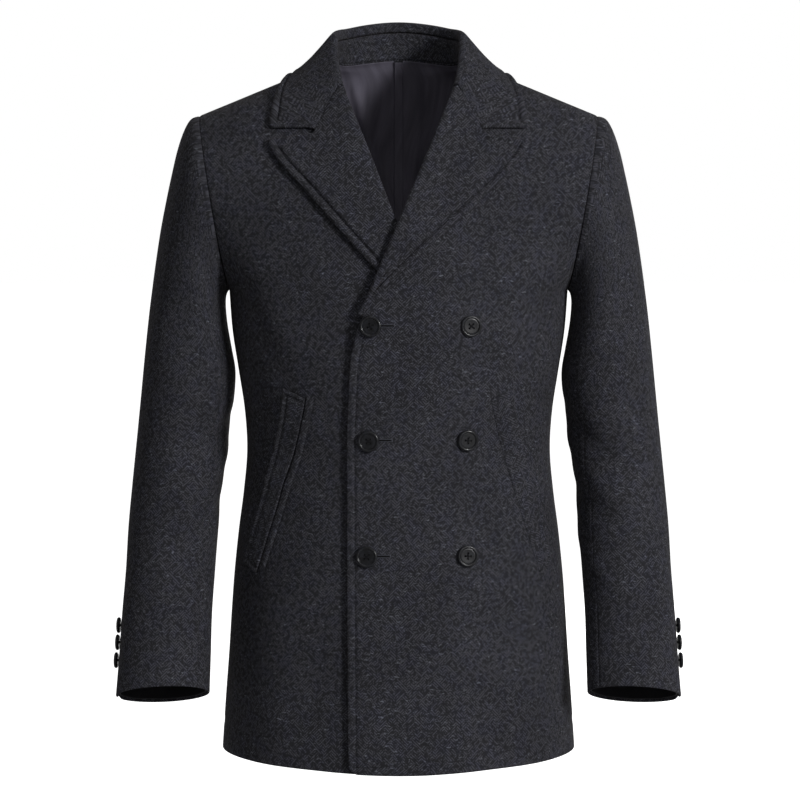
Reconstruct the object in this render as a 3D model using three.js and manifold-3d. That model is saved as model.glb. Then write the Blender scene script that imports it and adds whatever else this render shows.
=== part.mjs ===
// A double-breasted pea coat in heavy wool, filled out as if worn.
// Millimetres: +X to the wearer's left, -Y to the front, +Z up, with the origin level with the neck points.
// Every cloth piece is a thin wall laid on one body surface or on the sleeve's rings.
import * as THREE from "three";
import { mergeVertices } from "three/addons/utils/BufferGeometryUtils.js";
import Module from "manifold-3d";

// ---------- driving dimensions ----------
const CLOTH = 2.4; // one layer of coating
const TURNED = 3; // collar and lapels, two layers pressed together
const SATIN = 1; // lining with its seam allowances
const SEAM = 0.3; // gap between pieces at a seam
const AIR = 0.9; // air between layers that lie on each other
const NECK_HALF = 73; // neck point from the centre
const NECK_ROW = 2; // body row of the centre back neck
const FLATNESS = 1.12; // 1 is an ellipse, more is flatter at the middle
const MID_ROUND = 0.15; // share of the half width over which a row levels out at the middle
const SIDE_Y = 8; // depth of the side seams
const SHOULDER_ROUND = 0.3; // body rows over which the cloth's thickness turns at the shoulder seam
const ARMHOLE = { x: 213, y: 8, z: -164.2, halfX: 17, halfY: 78, halfZ: 100.8 };

// The body from the shoulder to the underarm, a row for each angle round the armhole (0 at the top).
// Columns: angle, then height, depth and wrap angle at the middle of the front and of the back.
const CHEST_ROWS = [
  { angle: 0, frontZ: 20, frontY: 5, frontWrap: 30, backZ: 20, backY: 5, backWrap: 30 },
  { angle: 25, frontZ: -8, frontY: -35, frontWrap: 36, backZ: 17, backY: 45, backWrap: 30 },
  { angle: 50, frontZ: -50, frontY: -68, frontWrap: 38, backZ: 6, backY: 80, backWrap: 32 },
  { angle: 75, frontZ: -105, frontY: -93, frontWrap: 42, backZ: -40, backY: 104, backWrap: 38 },
  { angle: 100, frontZ: -160, frontY: -110, frontWrap: 49, backZ: -110, backY: 120, backWrap: 46 },
  { angle: 125, frontZ: -210, frontY: -120, frontWrap: 60, backZ: -175, backY: 125, backWrap: 57 },
  { angle: 150, frontZ: -250, frontY: -127, frontWrap: 73, backZ: -235, backY: 125, backWrap: 70 },
  { angle: 180, frontZ: -283, frontY: -131, frontWrap: 90, backZ: -275, backY: 122, backWrap: 90 },
];
// The body from the underarm to the hem, a row for each level of the side seam.
const SKIRT_ROWS = [
  { sideZ: -311, sideX: 192.5, frontZ: -320, frontY: -131, backZ: -316, backY: 117 },
  { sideZ: -357, sideX: 185.5, frontZ: -366, frontY: -128, backZ: -361, backY: 109 },
  { sideZ: -404, sideX: 178.5, frontZ: -413, frontY: -123, backZ: -408, backY: 102 },
  { sideZ: -450, sideX: 176, frontZ: -459, frontY: -120, backZ: -454, backY: 100 },
  { sideZ: -497, sideX: 180, frontZ: -507, frontY: -121, backZ: -501, backY: 104 },
  { sideZ: -543, sideX: 186, frontZ: -554, frontY: -124, backZ: -548, backY: 110 },
  { sideZ: -591, sideX: 191, frontZ: -602, frontY: -127, backZ: -596, backY: 117 },
  { sideZ: -637, sideX: 194.5, frontZ: -649, frontY: -130, backZ: -643, backY: 122 },
  { sideZ: -684, sideX: 197.5, frontZ: -697, frontY: -134, backZ: -690, backY: 127 },
  { sideZ: -737, sideX: 201.5, frontZ: -748, frontY: -138, backZ: -738, backY: 131 },
  { sideZ: -797, sideX: 205.5, frontZ: -806, frontY: -142, backZ: -803, backY: 136 },
];
const UNDERARM_ROW = CHEST_ROWS.length - 1;
const HEM_ROW = UNDERARM_ROW + SKIRT_ROWS.length;

// The free edge of a front, from the neck point down the lapel's roll to the hem; x is on its own side.
const FRONT_EDGE = [
  { z: 2, x: 73 },
  { z: -36, x: 67.5 },
  { z: -110, x: 37.4 },
  { z: -188, x: 5.6 },
  { z: -270, x: -28.5 },
  { z: -298, x: -43 },
  { z: -340, x: -53.5 },
  { z: -429, x: -57 },
  { z: -600, x: -57 },
  { z: -810, x: -55.5 },
];
// The left front rises over the right one between these x, and below these heights.
const OVERLAP = { air: 1.1, full: 60, none: 105, noneZ: -90, fullZ: -175 };
const LAPEL_HUMP = { rise: 5.4, fullZ: -296, noneZ: -350, full: 12, none: 60 }; // room for a lapel below

// The lapels, a row for each height of the roll. edge is the outer edge and bend how far the row's
// middle follows the notch. curl is the roll's radius; pressed, the same under the left front.
const LAPEL_ROWS = [
  { rollZ: -37, edgeX: 150, edgeZ: -94, bend: 1, curl: 3.4, pressed: 3.4 },
  { rollZ: -58, edgeX: 141, edgeZ: -110, bend: 0.6, curl: 3.4, pressed: 3.4 },
  { rollZ: -80, edgeX: 129, edgeZ: -126, bend: 0.3, curl: 3.4, pressed: 3.4 },
  { rollZ: -105, edgeX: 109, edgeZ: -146, bend: 0.1, curl: 3.4, pressed: 3.3 },
  { rollZ: -132, edgeX: 88, edgeZ: -166, bend: 0, curl: 3.4, pressed: 2.9 },
  { rollZ: -160, edgeX: 66, edgeZ: -186, bend: 0, curl: 3.4, pressed: 2.2 },
  { rollZ: -190, edgeX: 44, edgeZ: -206, bend: 0, curl: 3.4, pressed: 2.1 },
  { rollZ: -222, edgeX: 20, edgeZ: -229, bend: 0, curl: 3.3, pressed: 2.1 },
  { rollZ: -252, edgeX: -4, edgeZ: -250, bend: 0, curl: 3, pressed: 2.1 },
  { rollZ: -276, edgeX: -24, edgeZ: -266, bend: 0, curl: 2.6, pressed: 2.1 },
  { rollZ: -292, edgeX: -37, edgeZ: -283, bend: 0, curl: 2.2, pressed: 2.1 },
];
const NOTCH = { lapelX: 95, lapelZ: -83.4, collarX: 94.6, collarZ: -82.4, slit: 1.5 };
const FLAT_SHARES = [0, 0.1, 0.25, 0.42, 0.47, 0.65, 0.84, 1]; // across a lapel or the collar's fall
const NOTCH_SHARE = 0.42;
const RIGHT_BELLY = 6; // the right lapel's edge hangs this much lower at its middle

// The collar from the centre back to the notch, a row for each place on the neck seam (a body row,
// negative on the back). join and top are heights over the seam, lean is inwards, upright turns the
// section from vertical (0) to square to the chest (1), out is its heading, edge is the outer edge.
const COLLAR_ROWS = [
  { seam: -2, join: 31, top: 44, lean: 2, upright: 0, out: 0, edgeX: 0, edgeRow: -2.55 },
  { seam: -1.85, join: 30.5, top: 43.5, lean: 2, upright: 0, out: 22, edgeX: 44, edgeRow: -2.45 },
  { seam: -1.4, join: 29, top: 41.5, lean: 2, upright: 0, out: 44, edgeX: 86, edgeRow: -2 },
  { seam: -0.8, join: 25.5, top: 38, lean: 2, upright: 0, out: 66, edgeX: 115, edgeRow: -1.2 },
  { seam: 0, join: 19, top: 30, lean: 2, upright: 0.1, out: 88, edgeX: 128, edgeRow: -0.1 },
  { seam: 0.48, join: 10.5, top: 20, lean: 2.6, upright: 0.5, out: 96, edgeX: 138, edgeRow: 0.75 },
  { seam: 0.95, join: 4, top: 12.5, lean: 3.4, upright: 0.8, out: 100, edgeX: 143, edgeRow: 1.33 },
  { seam: 1.38, join: -1.2, top: 7.1, lean: 3.8, upright: 1, out: 100, edgeX: 147, edgeRow: 1.86 },
];
const COLLAR_CURL = 3.4;
// How the fall leaves its crest and lands at its edge, as shares of the span between them.
const FALL_CURVE = { leave: 0.2, arrive: 1.05, landing: 0.94 };
const LAPEL_SETTLE = 0.6; // share across a lapel at which it has come down from its roll
const SHOULDER_ROWS = { last: 3.2, count: 129 }; // body rows that a collar point is kept clear of
const STAND_FOOT = 2; // the stand's lower edge over the neck seam

// The left sleeve's rings from the armhole to the cuff: outer and inner points, middle depth,
// half depth and forward pitch in degrees.
const SLEEVE_RINGS = [
  { outX: 230, outZ: -63.4, inX: 196, inZ: -265, midY: 8, halfY: 78, pitch: 0 },
  { outX: 240, outZ: -67.5, inX: 198, inZ: -266.5, midY: 8, halfY: 79, pitch: 0 },
  { outX: 248, outZ: -81, inX: 199.6, inZ: -270, midY: 8, halfY: 78.5, pitch: 0 },
  { outX: 255.5, outZ: -103, inX: 200.6, inZ: -276, midY: 8, halfY: 77, pitch: 0 },
  { outX: 262, outZ: -130, inX: 200.6, inZ: -285, midY: 8, halfY: 75, pitch: 0 },
  { outX: 268.5, outZ: -160, inX: 199.6, inZ: -297, midY: 8, halfY: 73, pitch: 0 },
  { outX: 275.5, outZ: -196, inX: 197.5, inZ: -312, midY: 8, halfY: 71, pitch: 0 },
  { outX: 282, outZ: -238, inX: 193.5, inZ: -334, midY: 8, halfY: 69, pitch: 0 },
  { outX: 288.5, outZ: -286, inX: 189.5, inZ: -359, midY: 8, halfY: 67.5, pitch: 0 },
  { outX: 294, outZ: -336, inX: 191, inZ: -388, midY: 8, halfY: 66, pitch: 0 },
  { outX: 299, outZ: -386, inX: 195.5, inZ: -418, midY: 8, halfY: 64, pitch: 0 },
  { outX: 304, outZ: -436, inX: 200.5, inZ: -453, midY: 7, halfY: 61.5, pitch: 2 },
  { outX: 309, outZ: -488, inX: 205, inZ: -496, midY: 2, halfY: 58.5, pitch: 7 },
  { outX: 313, outZ: -538, inX: 209, inZ: -541, midY: -8, halfY: 55, pitch: 12 },
  { outX: 315, outZ: -588, inX: 212, inZ: -587, midY: -22, halfY: 51.5, pitch: 16 },
  { outX: 318, outZ: -635, inX: 214.5, inZ: -633, midY: -38, halfY: 48, pitch: 18 },
  { outX: 320, outZ: -681, inX: 215, inZ: -678, midY: -55, halfY: 45, pitch: 20 },
  { outX: 322.5, outZ: -727, inX: 215.5, inZ: -722, midY: -73, halfY: 42.5, pitch: 21 },
];
const CUFF_RING = SLEEVE_RINGS.length - 1;
const UNDERARM_LIFT = 0.8; // the sleeve starts this much over the body's edge under the arm
const ARM_FOLD = { body: 50, own: 95 }; // degrees from the top between which the sleeve's end turns
const SLEEVE_SEAMS = { backTop: -62, backCuff: -14, frontTop: 135, frontCuff: 141 }; // degrees round a ring

// The hand-pocket welt: its sewn edge and its free edge, from the top down, on its own side.
const WELT_ROWS = [
  { sewnX: 104, sewnZ: -385, freeX: 128, freeZ: -373 },
  { sewnX: 106, sewnZ: -420, freeX: 136, freeZ: -411 },
  { sewnX: 114.5, sewnZ: -449, freeX: 145, freeZ: -445 },
  { sewnX: 129, sewnZ: -490, freeX: 157, freeZ: -487 },
  { sewnX: 144, sewnZ: -530, freeX: 168, freeZ: -528 },
  { sewnX: 162, sewnZ: -586, freeX: 177, freeZ: -575 },
];

// The back lining: top and hem are body rows, and reach is its share of the way to the side seams.
const LINING = { hem: 17.4, pleatHalf: 5, pleatFold: 1.5, pleatRise: 1.6, reach: 0.97, air: 3, columns: 8 };
const CUFF_LINING = { firstRing: 15, lastRing: 16.9, points: 16 };

const FRONT_BUTTON = { radius: 12.2, thick: 4, shank: 1.2, holes: 2.3, sides: 16 };
const CUFF_BUTTON = { radius: 9.1, thick: 3.6, shank: 1.6, holes: 1.8, sides: 12 };
const FRONT_BUTTONS = [
  { left: 79.5, right: -30.5, z: -303 },
  { left: 76.5, right: -33, z: -431 },
  { left: 76.5, right: -35, z: -561.5 },
];
// Every button's section, as shares of its radius (across) and of its thickness (face).
const BUTTON_SECTION = { shank: 0.25, under: 0.9, rim: 0.88, dish: 0.7, face: 0.66 };
const BUTTON_DRILL = { radius: 1.05, sides: 5 }; // for the thread holes
const CUFF_BUTTON_RINGS = [15.37, 15.8, 16.23];
const CUFF_BUTTON_ANGLE = -4;

// ---------- colours ----------
const WOOL = { color: 0x2b2e34, roughness: 0.95, metalness: 0 };
const SATIN_FINISH = { color: 0x1b1c22, roughness: 0.5, metalness: 0 };
const BUTTON_FINISH = { color: 0x1a1b1e, roughness: 0.4, metalness: 0 };

const vector = (x, y, z) => new THREE.Vector3(x, y, z);
const radians = THREE.MathUtils.degToRad;
const smooth = (value, none, full) => THREE.MathUtils.smoothstep((value - none) / (full - none), 0, 1);
const spread = (from, to, count) =>
  Array.from({ length: count }, (_, i) => from + ((to - from) * i) / (count - 1));

// One column of a table at a place between its rows, on a smooth curve through them.
function sample(rows, column, place) {
  const i = Math.min(Math.floor(place), rows.length - 2);
  const t = place - i;
  const at = (k) => rows[Math.min(Math.max(k, 0), rows.length - 1)][column];
  const [a, b, c, d] = [at(i - 1), at(i), at(i + 1), at(i + 2)];
  return b + (t / 2) * (c - a + t * (2 * a - 5 * b + 4 * c - d + t * (3 * (b - c) + d - a)));
}

// A straight-line reading of a table whose key column falls from row to row.
function read(rows, key, column, value) {
  const last = rows.length - 2;
  const i = Math.min(Math.max(rows.findIndex((row) => row[key] <= value) - 1, 0), last);
  const share = (value - rows[i][key]) / (rows[i + 1][key] - rows[i][key]);
  return rows[i][column] + share * (rows[i + 1][column] - rows[i][column]);
}

// ---------- the body surface ----------
const BODY_ROWS = [...CHEST_ROWS, ...SKIRT_ROWS];
const SIDE_ROWS = [{ sideX: ARMHOLE.x - ARMHOLE.halfX, sideZ: ARMHOLE.z - ARMHOLE.halfZ }, ...SKIRT_ROWS];

function armholePoint(degrees) {
  const turn = radians(degrees);
  return vector(
    ARMHOLE.x + ARMHOLE.halfX * Math.cos(turn),
    ARMHOLE.y - ARMHOLE.halfY * Math.sin(turn),
    ARMHOLE.z + ARMHOLE.halfZ * Math.cos(turn),
  );
}

function outerEdge(face, row) {
  if (row < UNDERARM_ROW) {
    const angle = sample(CHEST_ROWS, "angle", row);
    return armholePoint(face === "front" ? angle : -angle);
  }
  const place = row - UNDERARM_ROW;
  return vector(sample(SIDE_ROWS, "sideX", place), SIDE_Y, sample(SIDE_ROWS, "sideZ", place));
}

const levelling = (share) => Math.hypot(share, MID_ROUND) - MID_ROUND;

const wrapOf = (face, row) => radians(row < UNDERARM_ROW ? sample(CHEST_ROWS, face + "Wrap", row) : 90);

// A point of the front or back, at an angle from its middle and a body row.
function turnedPoint(face, turn, row) {
  const edge = outerEdge(face, row);
  const wrap = wrapOf(face, row);
  const share = Math.sin(turn) / Math.sin(wrap);
  const bend = ((1 - Math.cos(turn)) / (1 - Math.cos(wrap))) ** FLATNESS;
  const midY = sample(BODY_ROWS, face + "Y", row);
  const midZ = sample(BODY_ROWS, face + "Z", row);
  const fall = levelling(share) / levelling(1);
  return vector(edge.x * share, midY + (edge.y - midY) * bend, midZ + (edge.z - midZ) * fall);
}

function turnAt(face, x, row) {
  const share = THREE.MathUtils.clamp(x / outerEdge(face, row).x, -1, 1);
  return Math.asin(share * Math.sin(wrapOf(face, row)));
}

const bodyPoint = (face, x, row) => turnedPoint(face, turnAt(face, x, row), row);

// The direction square to the surface. Front and back share it at the shoulder seam.
function turnedNormal(face, turn, row) {
  const step = 0.02;
  const across = turnedPoint(face, turn + step, row).sub(turnedPoint(face, turn - step, row));
  const upper = turnedPoint(face, turn, Math.max(row - step, 0));
  const down = turnedPoint(face, turn, Math.min(row + step, HEM_ROW)).sub(upper);
  const normal = across.cross(down).normalize();
  if (face === "front") normal.negate();
  const level = smooth(row, SHOULDER_ROUND, 0) * Math.hypot(normal.x, normal.z);
  return normal.setY(normal.y * (1 - level)).normalize();
}

const bodyNormal = (face, x, row) => turnedNormal(face, turnAt(face, x, row), row);

// The body row at which the front or back reaches a height.
function rowAt(face, x, z) {
  let [top, bottom] = [0, HEM_ROW];
  for (let i = 0; i < 30; i++) {
    const row = (top + bottom) / 2;
    if (bodyPoint(face, x, row).z > z) top = row;
    else bottom = row;
  }
  return (top + bottom) / 2;
}

const frontEdgeX = (z) => read(FRONT_EDGE, "z", "x", z);

function frontInnerX(row) {
  let x = NECK_HALF;
  for (let i = 0; i < 25; i++) x = frontEdgeX(bodyPoint("front", x, row).z);
  return x;
}

function backInnerX(row) {
  const inset = SEAM / 2;
  return row < NECK_ROW ? Math.max(NECK_HALF * Math.sqrt(1 - (row / NECK_ROW) ** 2), inset) : inset;
}

// How far the left front's face stands over the body surface, where it laps over the right front.
function leftRise(x, z) {
  const over = smooth(x, OVERLAP.none, OVERLAP.full);
  const roll = -frontEdgeX(z);
  const lapelUnder =
    smooth(z, LAPEL_HUMP.noneZ, LAPEL_HUMP.fullZ) * smooth(x, roll + LAPEL_HUMP.none, roll + LAPEL_HUMP.full);
  const below = smooth(z, OVERLAP.noneZ, OVERLAP.fullZ);
  return ((CLOTH + OVERLAP.air) * over + LAPEL_HUMP.rise * lapelUnder) * below;
}

const frontRise = (side, x, z) => (side > 0 ? leftRise(x, z) : 0);

// A point over a front's outer face, at its own x and height.
function onFront(side, x, z, height) {
  const row = rowAt("front", x, z);
  const normal = bodyNormal("front", x, row);
  return bodyPoint("front", x, row).addScaledVector(normal, frontRise(side, x, z) + height);
}

// ---------- walls ----------
function gridNormals(grid, facing) {
  const rows = grid.length;
  const columns = grid[0].length;
  return grid.map((line, i) =>
    line.map((_, j) => {
      const down = grid[Math.min(i + 1, rows - 1)][j].clone().sub(grid[Math.max(i - 1, 0)][j]);
      const across = line[Math.min(j + 1, columns - 1)].clone().sub(line[Math.max(j - 1, 0)]);
      return down.cross(across).setLength(facing);
    }),
  );
}

// A closed thin solid from a grid of points: outward and inward are its faces' distances from the
// grid, and facing is 1 or -1 for the side that down the rows by across the columns gives.
function wall(grid, { outward, inward, facing, normals = gridNormals(grid, facing) }) {
  const rows = grid.length;
  const columns = grid[0].length;
  const points = [];
  for (const distance of [outward, -inward])
    grid.forEach((line, i) =>
      line.forEach((point, j) => points.push(point.clone().addScaledVector(normals[i][j], distance))),
    );
  const outer = (i, j) => i * columns + j;
  const inner = (i, j) => rows * columns + outer(i, j);
  const faces = [];
  const quad = (a, b, c, d) => {
    const short = points[a].distanceTo(points[c]) <= points[b].distanceTo(points[d]);
    faces.push(...(short ? [a, b, c, a, c, d] : [a, b, d, b, c, d]));
  };
  for (let i = 0; i < rows - 1; i++)
    for (let j = 0; j < columns - 1; j++) {
      quad(outer(i, j), outer(i + 1, j), outer(i + 1, j + 1), outer(i, j + 1));
      quad(inner(i, j), inner(i, j + 1), inner(i + 1, j + 1), inner(i + 1, j));
    }
  for (let i = 0; i < rows - 1; i++) {
    quad(outer(i, 0), inner(i, 0), inner(i + 1, 0), outer(i + 1, 0));
    quad(outer(i + 1, columns - 1), inner(i + 1, columns - 1), inner(i, columns - 1), outer(i, columns - 1));
  }
  for (let j = 0; j < columns - 1; j++) {
    quad(outer(0, j + 1), inner(0, j + 1), inner(0, j), outer(0, j));
    quad(outer(rows - 1, j), inner(rows - 1, j), inner(rows - 1, j + 1), outer(rows - 1, j + 1));
  }
  if (facing < 0) faces.reverse();
  return new THREE.BufferGeometry().setFromPoints(points).setIndex(faces);
}

// The same piece for the other side of the coat.
function mirrored(geometry) {
  const faces = Array.from(geometry.getIndex().array).reverse();
  return geometry.clone().scale(-1, 1, 1).setIndex(faces);
}

const onSide = (side, geometry) => (side > 0 ? geometry : mirrored(geometry));

const coat = new THREE.Group();

function add(name, geometry, finish) {
  const mesh = new THREE.Mesh(geometry, new THREE.MeshStandardMaterial(finish));
  mesh.name = name;
  coat.add(mesh);
  return mesh;
}

const SIDES = [
  { name: "left", side: 1 },
  { name: "right", side: -1 },
];

// ---------- fronts and back ----------
const SEAM_ROW = 0.007; // panels start this far down, for the shoulder seams
const SIDE_EASE = 0.3; // they stop this short of the side seams
const ARMHOLE_EASE = 0.5; // and this short of the armholes
const FRONT_ROWS = [SEAM_ROW, 0.48, 0.95, 1.38, ...spread(2, 9, 15), ...spread(10, HEM_ROW, HEM_ROW - 9)];
const BACK_ROWS = [
  ...[SEAM_ROW, 0.4, 0.8, 1.2, 1.5, 1.75, 1.9, NECK_ROW, 2.5, 3, 3.7, 4.4],
  ...[5, 5.6, 6.2, 6.6, 7],
  ...spread(8, HEM_ROW, HEM_ROW - 7),
];

// A panel of the body as a wall, with its grid's rows on the body's rows.
function panel(face, { innerX, rise, rows, columns, depth, thick }) {
  const normals = [];
  const grid = rows.map((row) => {
    const edge = outerEdge(face, row);
    const ease = row < UNDERARM_ROW ? ARMHOLE_EASE : SIDE_EASE;
    const turns = spread(turnAt(face, innerX(row), row), wrapOf(face, row), columns);
    turns[columns - 1] -= ease / edge.distanceTo(vector(0, edge.y, edge.z));
    normals.push(turns.map((turn) => turnedNormal(face, turn, row)));
    return turns.map((turn, j) => {
      const point = turnedPoint(face, turn, row);
      return point.addScaledVector(normals.at(-1)[j], rise(point.x, point.z) - depth);
    });
  });
  return wall(grid, { outward: 0, inward: thick, facing: face === "front" ? 1 : -1, normals });
}

function makeFront({ name, side }) {
  const rise = (x, z) => frontRise(side, x, z);
  const rows = FRONT_ROWS;
  const geometry = panel("front", { innerX: frontInnerX, rise, rows, columns: 12, depth: 0, thick: CLOTH });
  add("front_" + name, onSide(side, geometry), WOOL);
}

function makeBack({ name, side }) {
  const [innerX, rise, rows] = [backInnerX, () => 0, BACK_ROWS];
  const geometry = panel("back", { innerX, rise, rows, columns: 8, depth: 0, thick: CLOTH });
  add("back_" + name, onSide(side, geometry), WOOL);
}

// ---------- lapels ----------
// How much a point at a share across the row follows the notch's inner end.
const notchPull = (share) => (share < NOTCH_SHARE ? share / NOTCH_SHARE : (1 - share) / (1 - NOTCH_SHARE));

function lapelRow(side, row, index) {
  const roll = { x: frontEdgeX(row.rollZ), z: row.rollZ };
  const belly = side < 0 ? RIGHT_BELLY * Math.sin((Math.PI * index) / (LAPEL_ROWS.length - 1)) : 0;
  const edge = { x: row.edgeX, z: row.edgeZ - belly };
  const curl = side > 0 ? row.curl : row.pressed;
  const top = onFront(side, roll.x, roll.z, 0);
  const across = onFront(side, roll.x + 1, roll.z - 0.25, 0).sub(top).normalize();
  const normal = bodyNormal("front", roll.x, rowAt("front", roll.x, roll.z));
  const centre = top
    .clone()
    .addScaledVector(across, -3 * SEAM)
    .addScaledVector(normal, curl - CLOTH / 2);
  const round = [-90, -45, 0, 45].map((degrees) =>
    centre
      .clone()
      .addScaledVector(across, -curl * Math.cos(radians(degrees)))
      .addScaledVector(normal, curl * Math.sin(radians(degrees))),
  );
  const first = LAPEL_ROWS[0];
  const firstRoll = frontEdgeX(first.rollZ);
  const pull = {
    x: NOTCH.lapelX - firstRoll - NOTCH_SHARE * (first.edgeX - firstRoll),
    z: NOTCH.lapelZ - first.rollZ - NOTCH_SHARE * (first.edgeZ - first.rollZ),
  };
  const rest = TURNED / 2 + AIR + SEAM;
  const crest = 2 * curl - CLOTH / 2;
  const flat = FLAT_SHARES.map((share) => {
    const slit = index === 0 && share > NOTCH_SHARE ? NOTCH.slit * (1 - share) : 0;
    const x = roll.x + share * (edge.x - roll.x) + row.bend * notchPull(share) * pull.x;
    const z = roll.z + share * (edge.z - roll.z) + row.bend * notchPull(share) * pull.z - slit;
    return onFront(side, x, z, rest + (crest - rest) * (1 - smooth(share, 0, LAPEL_SETTLE)));
  });
  return [...round, ...flat];
}

function makeLapel({ name, side }) {
  const grid = LAPEL_ROWS.map((row, index) => lapelRow(side, row, index));
  const sheet = wall(grid, { outward: TURNED / 2, inward: TURNED / 2, facing: 1 });
  add("lapel_" + name, onSide(side, sheet), WOOL);
}

// ---------- collar ----------
const UP = vector(0, 0, 1);

const seamPoint = (seam) =>
  seam < 0 ? bodyPoint("back", backInnerX(-seam), -seam) : bodyPoint("front", frontInnerX(seam), seam);

function onBody(x, row, height) {
  const face = row < 0 ? "back" : "front";
  return bodyPoint(face, x, Math.abs(row)).addScaledVector(bodyNormal(face, x, Math.abs(row)), height);
}

// Moves a point out to a height over the body if it lies lower, judged in its own upright slice.
function liftClear(point, height) {
  let nearest = { gap: Infinity };
  for (const row of spread(-SHOULDER_ROWS.last, SHOULDER_ROWS.last, SHOULDER_ROWS.count)) {
    const place = onBody(point.x, row, 0);
    const gap = place.distanceTo(point);
    if (gap < nearest.gap) nearest = { gap, row, place };
  }
  const normal = bodyNormal(nearest.row < 0 ? "back" : "front", point.x, Math.abs(nearest.row));
  const over = point.clone().sub(nearest.place).dot(normal);
  return over < height ? point.addScaledVector(normal, height - over) : point;
}

// The seam point of a collar row and the two directions that its section is drawn in.
function collarFrame(row) {
  const seam = seamPoint(row.seam);
  const chest = bodyNormal("front", frontInnerX(1), 1);
  const up = UP.clone().lerp(chest, row.upright).normalize();
  const heading = vector(Math.sin(radians(row.out)), Math.cos(radians(row.out)), 0);
  const out = heading.addScaledVector(up, -heading.dot(up)).normalize();
  const at = (outward, height) => seam.clone().addScaledVector(out, outward).addScaledVector(up, height);
  return { at, out };
}

function fallRow(row, index) {
  const { at, out } = collarFrame(row);
  const last = COLLAR_STEPS - 1;
  const middle = row.top - TURNED / 2 - COLLAR_CURL;
  const start = index === last ? at(COLLAR_CURL - row.lean, row.join) : at(-row.lean, row.join + SEAM);
  const low = index === last ? -45 : 0;
  const round = [low, 0, 45, 90].map((degrees, i) => {
    const sink = index < last && i === 0 ? (middle - row.join) / 2 : 0;
    const outward = COLLAR_CURL * (1 - Math.cos(radians(degrees))) - row.lean;
    return at(outward, middle + COLLAR_CURL * Math.sin(radians(degrees)) - sink);
  });
  const rest = TURNED / 2 + AIR + 2 * SEAM;
  const edge = onBody(row.edgeX, row.edgeRow, rest);
  const nearEdge = onBody(row.edgeX * FALL_CURVE.landing, row.edgeRow * FALL_CURVE.landing, rest);
  const crest = round[3];
  const span = crest.distanceTo(edge);
  const leave = out.clone().multiplyScalar(span * FALL_CURVE.leave);
  const arrive = edge.clone().sub(nearEdge).normalize().multiplyScalar(span * FALL_CURVE.arrive);
  const notchPoint = onFront(-1, NOTCH.collarX, NOTCH.collarZ, rest);
  const straight = crest.clone().lerp(edge, NOTCH_SHARE);
  const bend = smooth(index, last - 3, last) ** 2;
  const flat = FLAT_SHARES.slice(1).map((t) => {
    const point = crest
      .clone()
      .multiplyScalar(2 * t ** 3 - 3 * t ** 2 + 1)
      .addScaledVector(leave, t ** 3 - 2 * t ** 2 + t)
      .addScaledVector(edge, 3 * t ** 2 - 2 * t ** 3)
      .addScaledVector(arrive, t ** 3 - t ** 2);
    if (index < last) {
      point.addScaledVector(notchPoint.clone().sub(straight), bend * notchPull(t));
      return liftClear(point, rest + (1 - t) * AIR);
    }
    const share = t < NOTCH_SHARE ? t / NOTCH_SHARE : (t - NOTCH_SHARE) / (1 - NOTCH_SHARE);
    const [from, to] = t < NOTCH_SHARE ? [crest, notchPoint] : [notchPoint, edge];
    const slit = t > NOTCH_SHARE ? NOTCH.slit * (1 - share) : 0;
    return liftClear(from.clone().lerp(to, share).addScaledVector(UP, slit), rest);
  });
  return [start, ...round, ...flat];
}

function bothSides(rows) {
  const mirroredRows = rows.slice(1).map((line) => line.map((p) => vector(-p.x, p.y, p.z)));
  return [...mirroredRows.reverse(), ...rows];
}

// The collar's table read at even steps from the centre back to the notch.
const COLLAR_STEPS = 11;
const collarColumns = Object.keys(COLLAR_ROWS[0]);
const collarSections = spread(0, COLLAR_ROWS.length - 1, COLLAR_STEPS).map((place) =>
  Object.fromEntries(collarColumns.map((column) => [column, sample(COLLAR_ROWS, column, place)])),
);

function makeCollar() {
  const fall = bothSides(collarSections.map(fallRow));
  add("collar_fall", wall(fall, { outward: TURNED / 2, inward: TURNED / 2, facing: -1 }), WOOL);
  const stand = collarSections.slice(0, -2).map((row) => {
    const { at } = collarFrame(row);
    const heights = spread(STAND_FOOT, row.join - 2 * SEAM, 3);
    return heights.map((height) => at((-row.lean * height) / row.join, height));
  });
  const sheet = wall(bothSides(stand), { outward: CLOTH / 2, inward: CLOTH / 2, facing: -1 });
  add("collar_stand", sheet, WOOL);
}

// ---------- sleeves ----------
// A point of the left sleeve: place runs from ring 0 to the cuff, and degrees round it, 0 outside
// and 90 in front.
function sleevePoint(place, degrees) {
  const at = (column) => sample(SLEEVE_RINGS, column, place);
  const turn = radians(degrees);
  const pitch = radians(at("pitch"));
  const across = Math.cos(turn) / 2;
  const forward = at("halfY") * Math.sin(turn);
  return vector(
    (at("outX") + at("inX")) / 2 + (at("outX") - at("inX")) * across,
    at("midY") - forward * Math.cos(pitch),
    (at("outZ") + at("inZ")) / 2 + (at("outZ") - at("inZ")) * across + forward * Math.sin(pitch),
  );
}

function sleeveNormal(place, degrees) {
  const step = 0.02;
  const down = sleevePoint(place + step, degrees).sub(sleevePoint(Math.max(place - step, 0), degrees));
  const round = sleevePoint(place, degrees + 1).sub(sleevePoint(place, degrees - 1));
  return round.cross(down).normalize();
}

// The body row whose armhole edge lies at an angle round the armhole.
function armholeRow(angle) {
  let [top, bottom] = [0, UNDERARM_ROW];
  for (let i = 0; i < 30; i++) {
    const row = (top + bottom) / 2;
    if (sample(CHEST_ROWS, "angle", row) < angle) top = row;
    else bottom = row;
  }
  return top;
}

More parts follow.
